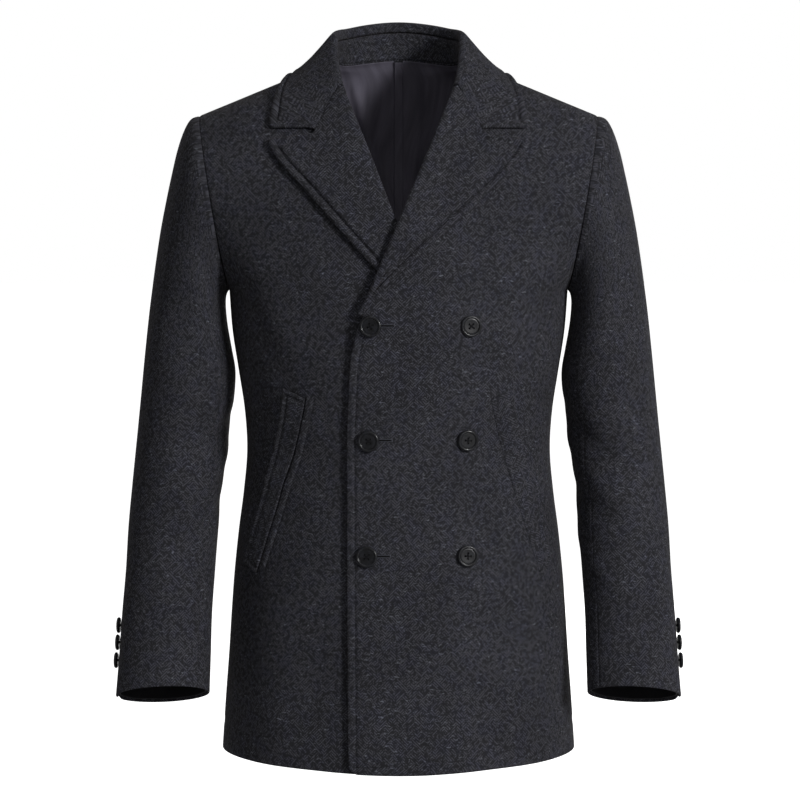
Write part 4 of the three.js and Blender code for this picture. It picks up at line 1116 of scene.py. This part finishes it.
# ---------- sleeves ----------
def sleeve_ring(place, degrees):
    """A point of the left sleeve before its folds: degrees run round it, 0 outside and 90 in front."""
    at = {column: spline(values, place) for column, values in SLEEVE.items()}
    turn, pitch = np.radians(degrees), np.radians(at["pitch"])
    across = np.cos(turn) / 2
    forward = at["half_y"] * np.sin(turn)
    return point(
        (at["out_x"] + at["in_x"]) / 2 + (at["out_x"] - at["in_x"]) * across,
        at["mid_y"] - forward * np.cos(pitch),
        (at["out_z"] + at["in_z"]) / 2 + (at["out_z"] - at["in_z"]) * across + forward * np.sin(pitch),
    )


def sleeve_surface(place, degrees, side):
    """The sleeve with its folds, and the directions out of it."""
    plain = sleeve_ring(place, degrees)
    down = sleeve_ring(np.minimum(place + 0.05, CUFF_RING), degrees) - sleeve_ring(place - 0.05, degrees)
    round_ = sleeve_ring(place, degrees + 1) - sleeve_ring(place, degrees - 1)
    normal = unit(np.cross(round_, down))
    folds = SLEEVE_FOLDS["left" if side > 0 else "right"]
    flat = [((r0 * RING, a0), (r1 * RING, a1), w, h) for (r0, a0), (r1, a1), w, h in folds]
    wrapped = np.where(degrees > 215, degrees - 360, degrees)
    height = fold_height(flat, place * RING, wrapped) + fold_height(flat, place * RING, wrapped + 360)
    fade = smooth(place, 0.4, 3) * smooth(place, CUFF_RING - 0.5, CUFF_RING - 3)
    return plain + normal * (height * fade)[..., None], normal


def sleeve_part(start, stop, side, columns):
    """Part of a sleeve between two seams, whose angles change from the armhole to the cuff."""
    steps = (0, 0.02, 0.07, 0.16, 0.3, 0.5)
    hem = CUFF_RING - np.array([0.2, 0.12, 0.07, 0.035, 0.012, 0])
    places = np.concatenate([steps, np.linspace(0.7, CUFF_RING - 0.32, 128), hem])
    a, b = start(places)[:, None], stop(places)[:, None]
    fine = a + (b - a) * np.linspace(0, 1, 120)
    along = lengths(sleeve_ring(places[:, None], fine))[1]
    wanted = spaced(along[:, -1], SEAM_STEPS, SEAM_STEPS, columns)
    degrees = np.stack([np.interp(w, l, d) for w, l, d in zip(wanted, along, fine)])
    surface, normals = sleeve_surface(places[:, None] + 0 * degrees, degrees, side)
    return surface - normals * CLOTH / 2, normals, degrees


def make_sleeves(name, side, material):
    def seam(first, last):
        return lambda place: first + (last - first) * place / CUFF_RING

    back = seam(SLEEVE_SEAMS["back_top"], SLEEVE_SEAMS["back_cuff"])
    front = seam(SLEEVE_SEAMS["front_top"], SLEEVE_SEAMS["front_cuff"])
    parts = {
        "top": (back, front, 56, (0.22, 0.72), 0.105),
        "under": (front, lambda place: back(place) + 360, 40, (0.24, 0.56), 0.097),
    }
    for part, (start, stop, columns, flat, area) in parts.items():
        grid, normals, degrees = sleeve_part(start, stop, side, columns)
        margin = margins(grid)
        half_thick = border(margin, 1.8, 1.8, 4.5, 1.3) * CLOTH / 2
        vent = margin["left"] if part == "top" else margin["right"]
        corner = np.clip(1 - (vent + margin["last"]) / 9, 0, 1) ** 2
        grid = grid + corner[..., None] * np.array([0.0, 0.0, 4.5])
        down, across = lengths(grid)
        middle = 40 if part == "top" else 235
        zero = np.array([np.interp(middle, d, a) for d, a in zip(degrees, across)])[:, None]
        uv = np.stack([(across - zero) * side + 2 * middle + 2000, -grid[..., 2]], axis=-1)
        made = shell(
            f"coat_sleeve_{part}_{name}", grid, normals, half_thick, half_thick, uv, material, side,
            stands_for=(f"sleeve_{part}_{name}",),
        )


# ---------- pockets ----------
def make_welt(name, side, cloth, material):
    depth = cloth.groove / MM
    end = np.array([0, 0.004, 0.015, 0.035, 0.06, 0.085, 0.1, 0.115, 0.13, 0.145, 0.165])
    down = np.concatenate([end, np.linspace(0.2, 4.8, 74), 5 - end[::-1]])
    at = {column: spline(values, down)[:, None] for column, values in WELT.items()}
    width = np.hypot(at["free_x"] - at["sewn_x"], at["free_z"] - at["sewn_z"])[:, 0]
    steps = (0, 0.12, 0.5, 1.1, 2, 3.4, 4.8, 5.8, 6.5, 7.2, 8, 9.5)
    share = spaced(width, SEAM_STEPS, steps, 5) / width[:, None]
    x = at["sewn_x"] + share * (at["free_x"] - at["sewn_x"])
    z = at["sewn_z"] + share * (at["free_z"] - at["sewn_z"])
    stands = POCKET_RELIEF[name]
    sunk = 3.7 * (1 - stands)
    height = AIR + CLOTH / 2 - sunk * (1 - smooth(share, 0, 0.5)) + 3.2 * stands * share**2
    grid = on_front(side, x, z, height)
    normals = grid_normals(grid, from_axis)
    margin = margins(grid)
    edges = border(margin, 0.5 + 1.1 * stands, 1.6, 1.4, 1.4)
    turned = np.minimum(margin["right"], np.minimum(margin["first"], margin["last"]) + 0.6)
    thread = stitched(turned, 6.5, 0.6 * depth)
    down, across = lengths(grid)
    uv = np.stack([across * side + 3200, down], axis=-1)
    made = shell(
        "coat_pocket_welt_" + name, grid, normals, edges * (CLOTH / 2 + thread), edges * CLOTH / 2, uv,
        material, side, stands_for=("pocket_welt_" + name,),
    )


# ---------- linings ----------
LINING_FOLDS = (
    ((52, -40), (66, -300), 7, 3.4),
    ((28, -50), (36, -260), 6, -2.6),
    ((-34, -46), (-46, -280), 7, 3.4),
    ((-54, -24), (-30, -120), 5, 2.4),
    ((36, -20), (18, -130), 5, 2.6),
    ((-60, -44), (-84, -260), 8, -2.6),
    ((84, -60), (104, -280), 12, 2.0),
    ((-96, -70), (-120, -300), 13, 2.4),
    ((10, -120), (13, -700), 6, 1.2),
    ((-12, -120), (-14, -700), 6, 1.4),
    ((120, -300), (130, -760), 16, 2.6),
    ((-128, -300), (-134, -760), 16, 2.6),
)


def make_linings(material, sleeve_shade_material):
    hem = LINING["hem"]
    rows = np.concatenate([
        [0, 0.004, 0.012, 0.03, 0.06], np.linspace(0.12, 7, 84), np.linspace(7.2, hem - 0.05, 60),
        [hem - 0.02, hem],
    ])[:, None]
    wrap = wrap_of("back", np.maximum(rows, NECK_ROW))
    edge_x = outer_edge("back", np.maximum(rows, NECK_ROW))[..., 0]
    pleat = np.array([0, 1.2, 2.4, 3.6, 4.4, 4.9, 5.2, 5.6, 6.4, 8, 11])
    inner = np.arcsin(pleat / edge_x * np.sin(wrap))
    outer = inner[:, -1:] + (wrap * LINING["reach"] - inner[:, -1:]) * np.linspace(0, 1, 48)[1:]
    turns = np.concatenate([inner, outer], axis=1)
    turns = np.concatenate([-turns[:, :0:-1], turns], axis=1)
    share = np.sin(turns) / np.sin(wrap)
    # Its top edge follows the neck seam and then the shoulder seams.
    neck = share[:1] * outer_edge("back", np.array([NECK_ROW]))[0, 0] / NECK_HALF
    top = 0.1 + (NECK_ROW - 0.1) * np.sqrt(np.clip(1 - neck**2, 0, 1))
    level = top + (hem - top) * rows / hem
    surface = body("back", share, level)
    normals = grid_normals(surface, from_axis)
    x, z = surface[..., 0], surface[..., 2]
    band = smooth(np.abs(x), 5.6, 4.8) * LINING["pleat_rise"] * (1 + 0.4 * smooth(z, -60, -20))
    # Small gathers where the lining is eased to the neck seam, dying away below it.
    eased = np.exp(-(((np.abs(x) - 34) / 18) ** 2)) * smooth(z, -90, -4)
    gathers = 1.9 * np.sin(x / 4.4 + 1.1 * np.sin(x / 11)) * eased
    folds = fold_height(LINING_FOLDS, x, z) * smooth(np.abs(x), 6, 14)
    fallen = smooth(rows, 0, 0.5)
    soft = LINING["air"] - 0.5 + gathers + np.clip(2.0 * folds, -2.2, 6.5)
    depth = CLOTH + 0.5 + band + fallen * soft
    grid = surface - normals * depth[..., None]
    margin = margins(grid)
    edges = np.minimum(rounded(np.minimum(margin["left"], margin["right"]), 0.6),
                       rounded(np.minimum(margin["first"], margin["last"]), 0.6))
    down, across = lengths(grid)
    uv = np.stack([across, down], axis=-1)
    half_thick = edges * SATIN / 2
    made = shell(
        "coat_lining_back", grid, normals, half_thick, half_thick, uv, material,
        stands_for=("lining_back",), slot="satin",
    )
    for name, side in SIDES.items():
        # The cuff linings take the near-black satin, painted shade for the inside of each cuff.
        make_cuff_lining(name, side, sleeve_shade_material)


def make_cuff_lining(name, side, material):
    """The short tube of lining inside a cuff, felled to the turned-up hem."""
    degrees = np.linspace(0, 360, 73)[:-1]
    places = np.concatenate([np.linspace(CUFF_LINING["first"], CUFF_LINING["last"] - 0.06, 20),
                             [CUFF_LINING["last"] - 0.03, CUFF_LINING["last"]]])
    outside = CLOTH + 2 * AIR
    ripple = 0.5 * np.sin(np.radians(degrees) * 9 + 0.6 * np.sin(np.radians(degrees) * 4))

    def ring(place, depth):
        spot = sleeve_ring(np.full(degrees.shape, place), degrees)
        centre = (spot + sleeve_ring(np.full(degrees.shape, place), degrees + 180)) / 2
        pucker = ripple * smooth(np.float64(place), CUFF_LINING["first"], CUFF_LINING["last"])
        return spot + unit(centre - spot) * (depth + pucker)[:, None]

    outer = [ring(p, outside + 0 * degrees) for p in places]
    inner = [ring(p, outside + SATIN + 0 * degrees) for p in places[::-1]]
    rings = np.stack(outer + inner)
    rows, columns = rings.shape[:2]
    index = np.arange(rows * columns).reshape(rows, columns)
    after, beside = np.roll(index, -1, axis=0), np.roll(index, -1, axis=1)
    across = np.roll(after, -1, axis=1)
    faces = np.stack([index, beside, across, after], axis=-1).reshape(-1, 4)
    points = rings.reshape(-1, 3)
    travel = np.concatenate([places, places[::-1]]) * RING
    uv = np.stack(np.broadcast_arrays(degrees[None] * 0.8, travel[:, None]), axis=-1).reshape(-1, 2)
    if side < 0:
        points, faces = points * np.array([-1.0, 1.0, 1.0]), faces[:, ::-1]
    made = new_piece("coat_sleeve_lining_" + name, points, faces, uv, material,
                     stands_for=("sleeve_lining_" + name,), slot="satin")


# ---------- buttons ----------
def lathe(profile, sides):
    """Points and faces of a solid turned about +Z from a profile of (radius, height) pairs."""
    angles = np.linspace(0, 2 * np.pi, sides, endpoint=False)
    points, rings, faces = [], [], []
    for radius, height in profile:
        start = len(points)
        if radius == 0:
            points.append((0, 0, height))
            rings.append([start] * sides)
        else:
            points += [(radius * math.cos(a), radius * math.sin(a), height) for a in angles]
            rings.append(list(range(start, start + sides)))
    for low, high in zip(rings, rings[1:]):
        for j in range(sides):
            corners = (low[j], low[(j + 1) % sides], high[(j + 1) % sides], high[j])
            faces.append(tuple(dict.fromkeys(corners)))
    return points, faces


def button_profile(radius, thick, shank):
    """A button's section: thread shank, rounded underside, half-round rim and dished face."""
    rim, top = 0.15 * radius, shank + thick
    crest = [
        (radius - rim + rim * math.cos(a), top - rim + rim * math.sin(a))
        for a in np.radians([0, 25, 50, 70, 90, 110, 130, 155, 180])
    ]
    face = shank + thick * 0.6
    return [
        (0, 0), (0.17 * radius, 0), (0.16 * radius, shank), (0.55 * radius, shank - 0.05),
        (0.86 * radius, shank + 0.1), (0.96 * radius, shank + 0.6), (radius, shank + thick * 0.4),
        *crest,
        (0.725 * radius, face + 0.25), (0.7 * radius, face + 0.06), (0.66 * radius, face + 0.16),
        (0.6 * radius, face + 0.15), (0.4 * radius, face), (0.2 * radius, face - 0.06), (0, face - 0.08),
    ]


def make_button(name, spot, normal, spin, size, material, thread, node):
    """Turns a four-hole button, drills it, and sews it on with crossed thread."""
    keys = ("radius", "thick", "shank", "holes", "drill")
    radius, thick, shank, holes, drill_radius = (size[key] for key in keys)
    points, faces = lathe(button_profile(radius, thick, shank), 56)
    mesh = bpy.data.meshes.new(name)
    mesh.from_pydata((np.array(points) * MM).tolist(), [], faces)
    made = bpy.data.objects.new(name, mesh)
    bpy.context.scene.collection.objects.link(made)
    drills = []
    face = shank + thick * 0.6
    for x, y in ((holes, holes), (holes, -holes), (-holes, holes), (-holes, -holes)):
        bits = [(0, face - 1.5), (drill_radius, face - 1.5), (drill_radius, face - 0.25),
                (drill_radius * 1.2, face + 0.6), (0, face + 0.6)]
        bit_points, bit_faces = lathe(bits, 20)
        bit = bpy.data.meshes.new("drill")
        bit.from_pydata(((np.array(bit_points) + (x, y, 0)) * MM).tolist(), [], bit_faces)
        drill = bpy.data.objects.new("drill", bit)
        bpy.context.scene.collection.objects.link(drill)
        drills.append(drill)
        cut = made.modifiers.new("hole", "BOOLEAN")
        cut.object, cut.operation, cut.solver = drill, "DIFFERENCE", "EXACT"
    pierced = bpy.data.meshes.new_from_object(made.evaluated_get(bpy.context.evaluated_depsgraph_get()))
    made.modifiers.clear()
    made.data = pierced
    for drill in drills:
        bpy.data.objects.remove(drill)
    pierced.polygons.foreach_set("use_smooth", np.ones(len(pierced.polygons), bool))
    pierced.set_sharp_from_angle(angle=math.radians(40))
    pierced.materials.clear()
    pierced.materials.append(material)
    turn = Vector(normal).to_track_quat("Z", "Y") @ Quaternion((0, 0, 1), math.radians(spin))
    pierced.transform(Matrix.LocRotScale(Vector(spot) * MM, turn, None))
    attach(made, "root")
    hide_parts(node)
    strands = []
    for way in (-1, 1):  # the two diagonals between the holes
        start, run = np.array([-holes, -way * holes]), np.array([2 * holes, 2 * way * holes])
        across = np.array([-run[1], run[0]]) / np.hypot(*run)
        for shift in (-0.36, 0.0, 0.36):
            path = []
            for t in np.linspace(-0.02, 1.02, 9):
                arch = 0.7 * max(0.0, math.sin(math.pi * t)) ** 0.4 - 0.9 * (t < 0 or t > 1)
                x, y = start + run * t + across * shift
                path.append(turn @ Vector((x, y, face - 0.05 + arch)))
            strands.append(np.array(path) + np.asarray(spot))
    tubes(name + "_thread", strands, 0.26, 6, thread)


def note_run(name, side, grid, normals, height):
    """Notes a line of a grid as one to be stitched, at a height over it."""
    flip = np.array([side, 1.0, 1.0])
    EDGE_RUNS.setdefault(name, []).append(((grid + normals * height) * flip, normals * flip))


def tubes(name, paths, radius, sides, material):
    """Round threads along paths, each closed at both ends."""
    points, faces = [], []
    angles = np.linspace(0, 2 * np.pi, sides, endpoint=False)
    for path in paths:
        path = np.asarray(path, float)
        along = unit(np.gradient(path, axis=0))
        helper = (0.0, 0.0, 1.0) if abs(along[0][2]) < 0.9 else (1.0, 0.0, 0.0)
        first = unit(np.cross(along, helper))
        second = np.cross(along, first)
        start = len(points)
        taper = np.ones(len(path))
        taper[0] = taper[-1] = 0.55
        for i, spot in enumerate(path):
            for a in angles:
                out = math.cos(a) * first[i] + math.sin(a) * second[i]
                points.append(spot + radius * taper[i] * out)
        for i in range(len(path) - 1):
            for j in range(sides):
                k = (j + 1) % sides
                low = start + i * sides
                faces.append((low + j, low + k, low + sides + k, low + sides + j))
        faces.append(tuple(range(start, start + sides))[::-1])
        faces.append(tuple(range(len(points) - sides, len(points))))
    mesh = bpy.data.meshes.new(name)
    mesh.from_pydata((np.array(points) * MM).tolist(), [], faces)
    mesh.polygons.foreach_set("use_smooth", np.ones(len(mesh.polygons), bool))
    mesh.materials.append(material)
    made = bpy.data.objects.new(name, mesh)
    bpy.context.scene.collection.objects.link(made)
    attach(made, "root")


# ---------- stitching ----------
def sew(name, paths, stitching, material):
    """A line of lockstitch along each path: every stitch rises from the cloth and sinks again.

    A path is its points on the cloth and the directions out of it."""
    pitch, radius = stitching.pitch / MM, stitching.radius / MM
    strands = []
    for points, outs in paths:
        travel = np.concatenate([[0], np.cumsum(np.linalg.norm(np.diff(points, axis=0), axis=1))])
        for start in np.arange(0, travel[-1] - pitch, pitch):
            distances = start + pitch * np.array([0.06, 0.2, 0.45, 0.7, 0.84])
            spots, out = (
                np.stack([np.interp(distances, travel, values[:, axis]) for axis in range(3)], axis=1)
                for values in (points, outs)
            )
            rise = np.array([-1.0, 0.35, 0.8, 0.35, -1.0]) * radius
            strands.append(spots + unit(out) * rise[:, None])
    tubes(name, strands, radius, 5, material)


def worked_hole(start, stop, out):
    """A worked buttonhole's purled ridges and the bar at its inner end, and the line of its closed slit, along
    which a near-black tube paints the shade inside the cut.
    """
    run = stop - start
    length_ = np.linalg.norm(run)
    way = run / length_
    across = unit(np.cross(out, way))
    strands = []
    for side in (-1, 1):
        t = np.linspace(0, 1, 40)
        wave = 0.16 * np.sin(t * length_ * 5.2)
        spots = start + way * (t * length_)[:, None] + across * (side * (1.35 + wave))[:, None]
        strands.append(spots + out * (0.3 + 0.1 * np.cos(t * length_ * 5.2))[:, None])
    for shift in (-0.35, 0.0, 0.35):
        t = np.linspace(-1, 1, 9)
        spots = stop + way * shift + across * (t * 1.9)[:, None]
        strands.append(spots + out * (0.35 - 0.5 * t**4)[:, None])
    # Painted shade: the slit is drawn as a near-black tube that stands in for the shade inside the cut.
    t = np.linspace(0, 1, 12)
    slit = start + way * (t * (length_ - 0.4))[:, None] + out * 0.05
    return strands, slit


def hole_ends(side, x, z, height, run):
    """Both ends of a buttonhole that lies over a front, and the direction out of the cloth."""
    ends = np.array([x, x + run[0]]), np.array([z, z + run[1]])
    spots = on_front(side, *ends, height)
    return spots[0], spots[1], unit(on_front(side, *ends, height + 2.0) - spots)[1]


# ---------- operators ----------
class PEACOAT_OT_fronts(bpy.types.Operator):
    """Build the two fronts, the left one lapped over the right"""

    bl_idname = "peacoat.fronts"
    bl_label = "Fronts"

    def execute(self, context):
        cloth = settings_of(context, "cloth")
        for name, side in SIDES.items():
            make_front(name, side, cloth, shared(fulled_wool, cloth))
        return {"FINISHED"}


class PEACOAT_OT_backs(bpy.types.Operator):
    """Build the two backs, joined at the centre seam"""

    bl_idname = "peacoat.backs"
    bl_label = "Backs"

    def execute(self, context):
        cloth = settings_of(context, "cloth")
        for name, side in SIDES.items():
            make_back(name, side, shared(fulled_wool, cloth))
        return {"FINISHED"}


class PEACOAT_OT_lapels(bpy.types.Operator):
    """Build the peaked lapels that roll out of the fronts"""

    bl_idname = "peacoat.lapels"
    bl_label = "Lapels"

    def execute(self, context):
        cloth = settings_of(context, "cloth")
        for name, side in SIDES.items():
            make_lapel(name, side, cloth, shared(fulled_wool, cloth))
        return {"FINISHED"}


class PEACOAT_OT_collar(bpy.types.Operator):
    """Build the collar's fall and stand"""

    bl_idname = "peacoat.collar"
    bl_label = "Collar"

    def execute(self, context):
        cloth = settings_of(context, "cloth")
        make_collar(cloth, shared(fulled_wool, cloth))
        return {"FINISHED"}


class PEACOAT_OT_sleeves(bpy.types.Operator):
    """Build the two-piece sleeves"""

    bl_idname = "peacoat.sleeves"
    bl_label = "Sleeves"

    def execute(self, context):
        cloth = settings_of(context, "cloth")
        for name, side in SIDES.items():
            make_sleeves(name, side, shared(fulled_wool, cloth))
        return {"FINISHED"}


class PEACOAT_OT_pockets(bpy.types.Operator):
    """Build the slanted pocket welts"""

    bl_idname = "peacoat.pockets"
    bl_label = "Pockets"

    def execute(self, context):
        cloth = settings_of(context, "cloth")
        for name, side in SIDES.items():
            make_welt(name, side, cloth, shared(fulled_wool, cloth))
        return {"FINISHED"}


class PEACOAT_OT_linings(bpy.types.Operator):
    """Build the back lining with its centre pleat, and the cuff linings"""

    bl_idname = "peacoat.linings"
    bl_label = "Linings"

    def execute(self, context):
        lining = settings_of(context, "lining")
        make_linings(shared(woven_satin, lining), shared(painted_cuff_shade_satin, lining))
        return {"FINISHED"}


class PEACOAT_OT_buttons(bpy.types.Operator):
    """Build and sew on the front and cuff buttons"""

    bl_idname = "peacoat.buttons"
    bl_label = "Buttons"

    def execute(self, context):
        buttons = settings_of(context, "buttons")
        material = shared(polished_polyester, buttons)
        thread = shared(spun_thread, settings_of(context, "stitching"))
        front = {**FRONT_BUTTON, "radius": buttons.front_radius / MM}
        cuff = {**CUFF_BUTTON, "radius": buttons.cuff_radius / MM}
        for i, (left, right, z) in enumerate(FRONT_BUTTONS, 1):
            for name, x in (("left", left), ("right", right)):
                at = np.array([float(x)]), np.array([float(z)])
                foot, over = on_front(1, *at, 0.1)[0], on_front(1, *at, 3.0)[0]
                node = f"button_front_{i}_{name}"
                spin = BUTTON_SPINS[node]
                make_button("coat_" + node, foot, over - foot, spin, front, material, thread, node)
        for name, side in SIDES.items():
            for i, ring in enumerate(CUFF_BUTTON_RINGS, 1):
                foot, normal = sleeve_surface(np.array([ring]), np.array([float(CUFF_BUTTON_ANGLE)]), side)
                flip = np.array([side, 1.0, 1.0])
                node = f"button_cuff_{name}_{i}"
                spot, way = foot[0] * flip, normal[0] * flip
                make_button("coat_" + node, spot, way, 20 * i, cuff, material, thread, node)
        return {"FINISHED"}


class PEACOAT_OT_stitching(bpy.types.Operator):
    """Sew the edge stitching and the worked buttonholes"""

    bl_idname = "peacoat.stitching"
    bl_label = "Stitching"

    def execute(self, context):
        stitching = settings_of(context, "stitching")
        thread = shared(spun_thread, stitching)
        for name, runs in EDGE_RUNS.items():
            sew("coat_stitches_" + name, runs, stitching, thread)
        purls, slit_shades = [], []
        for _, x, z in FRONT_BUTTONS:
            strands, slit = worked_hole(*hole_ends(1, x + 4.0, z + 0.5, 0.1, (BUTTONHOLE - 4.0, 0.0)))
            purls += strands
            slit_shades.append(slit)
        tubes("coat_buttonhole_purls", purls, 0.45, 6, shared(silk_twist, stitching))
        # Painted shade: near-black thread tubes along the slits darken each buttonhole's cut.
        tubes("coat_buttonhole_slits", slit_shades, 0.85, 8, thread)
        return {"FINISHED"}


class PEACOAT_OT_stage(bpy.types.Operator):
    """Build the pale floor, the soft lights and the camera"""

    bl_idname = "peacoat.stage"
    bl_label = "Stage"

    def execute(self, context):
        stage = settings_of(context, "stage")
        scene = context.scene
        low, high = (np.array(corner) for corner in CAD_BOX)
        middle = Vector((0.0017, 0.0, -0.392))
        back = Vector((0, -math.cos(stage.elevation), math.sin(stage.elevation)))
        camera = bpy.data.cameras.new("camera")
        camera.lens, camera.sensor_width = stage.lens, 36
        camera_object = bpy.data.objects.new("camera", camera)
        camera_object.location = middle + back * stage.distance
        camera_object.rotation_euler = (-back).to_track_quat("-Z", "Y").to_euler()
        scene.collection.objects.link(camera_object)
        scene.camera = camera_object

        floor_material, tree = new_material("painted_studio_floor")
        speckle = add_node(tree, "TexNoise", {"Scale": 30.0, "Detail": 2.0})
        shader = {
            "Base Color": (0.5, 0.5, 0.5, 1),
            "Roughness": add_node(tree, "MapRange", {0: speckle, 3: 0.7, 4: 0.8}),
            "Emission Color": (1, 1, 1, 1),
            "Emission Strength": add_node(tree, "LightPath", output="Is Camera Ray"),
        }
        add_node(tree, "OutputMaterial", {0: add_node(tree, "BsdfPrincipled", shader)})
        mesh = bpy.data.meshes.new("floor")
        reach = 60.0
        corners = ((-reach, -reach), (reach, -reach), (reach, reach), (-reach, reach))
        mesh.from_pydata([(x, y, -stage.floor_drop) for x, y in corners], [], [(0, 1, 2, 3)])
        mesh.materials.append(floor_material)
        floor = bpy.data.objects.new("floor", mesh)
        scene.collection.objects.link(floor)
        floor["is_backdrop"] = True

        centre = Vector((low + high) / 2)
        lights = (
            ("key", (2.4, -2.7, 0.75), 0.6, 96.0),
            ("fill", (0.1, -3.3, 1.7), 1.0, 8.0),
            ("top", (0.2, -0.4, 2.6), 1.6, 8.0),
            ("behind", (0.9, 3.3, -0.1), 1.2, 34.0),
            ("rim_left", (-2.4, 2.2, 0.3), 1.2, 3.0),
            ("rim_right", (2.4, 2.2, 0.3), 1.2, 6.0),
        )
        for name, place, size, power in lights:
            light = bpy.data.lights.new(name, "AREA")
            light.size, light.energy = size, power
            lamp = bpy.data.objects.new(name, light)
            lamp.location = place
            lamp.rotation_euler = (centre - Vector(place)).to_track_quat("-Z", "Y").to_euler()
            scene.collection.objects.link(lamp)

        world = bpy.data.worlds.new("studio")
        world.use_nodes = True
        tree = world.node_tree
        tree.nodes.clear()
        seen = add_node(tree, "LightPath", output="Is Camera Ray")
        glow = add_node(tree, "MapRange", {0: seen, 3: 0.22, 4: 1.0})
        add_node(tree, "OutputWorld", {0: add_node(tree, "Background", {0: (1, 1, 1, 1), 1: glow})})
        scene.world = world
        scene.view_settings.view_transform = "Standard"
        return {"FINISHED"}


class PEACOAT_PT_panel(bpy.types.Panel):
    bl_label = "Pea coat"
    bl_space_type = "VIEW_3D"
    bl_region_type = "UI"
    bl_category = "Pea coat"

    def draw(self, context):
        for operator in OPERATORS:
            self.layout.operator(operator.bl_idname)


OPERATORS = (
    PEACOAT_OT_stage,
    PEACOAT_OT_fronts,
    PEACOAT_OT_backs,
    PEACOAT_OT_lapels,
    PEACOAT_OT_collar,
    PEACOAT_OT_sleeves,
    PEACOAT_OT_pockets,
    PEACOAT_OT_linings,
    PEACOAT_OT_buttons,
    PEACOAT_OT_stitching,
)
GROUPS = {
    "cloth": ClothSettings,
    "lining": LiningSettings,
    "buttons": ButtonSettings,
    "stitching": StitchSettings,
    "stage": StageSettings,
}


def register():
    for cls in (*GROUPS.values(), *OPERATORS, PEACOAT_PT_panel):
        bpy.utils.register_class(cls)
    for name, cls in GROUPS.items():
        setattr(bpy.types.Scene, "coat_" + name, bpy.props.PointerProperty(type=cls))


def unregister():
    for name in GROUPS:
        delattr(bpy.types.Scene, "coat_" + name)
    for cls in reversed((*GROUPS.values(), *OPERATORS, PEACOAT_PT_panel)):
        bpy.utils.unregister_class(cls)


def main():
    register()
    for operator in OPERATORS:
        group, name = operator.bl_idname.split(".")
        getattr(getattr(bpy.ops, group), name)()
    boxes = {"cad": CAD_BOX, "visual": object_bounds()}
    {key: [list(corner) for corner in box] for key, box in boxes.items()}


if __name__ == "__main__":
    main()
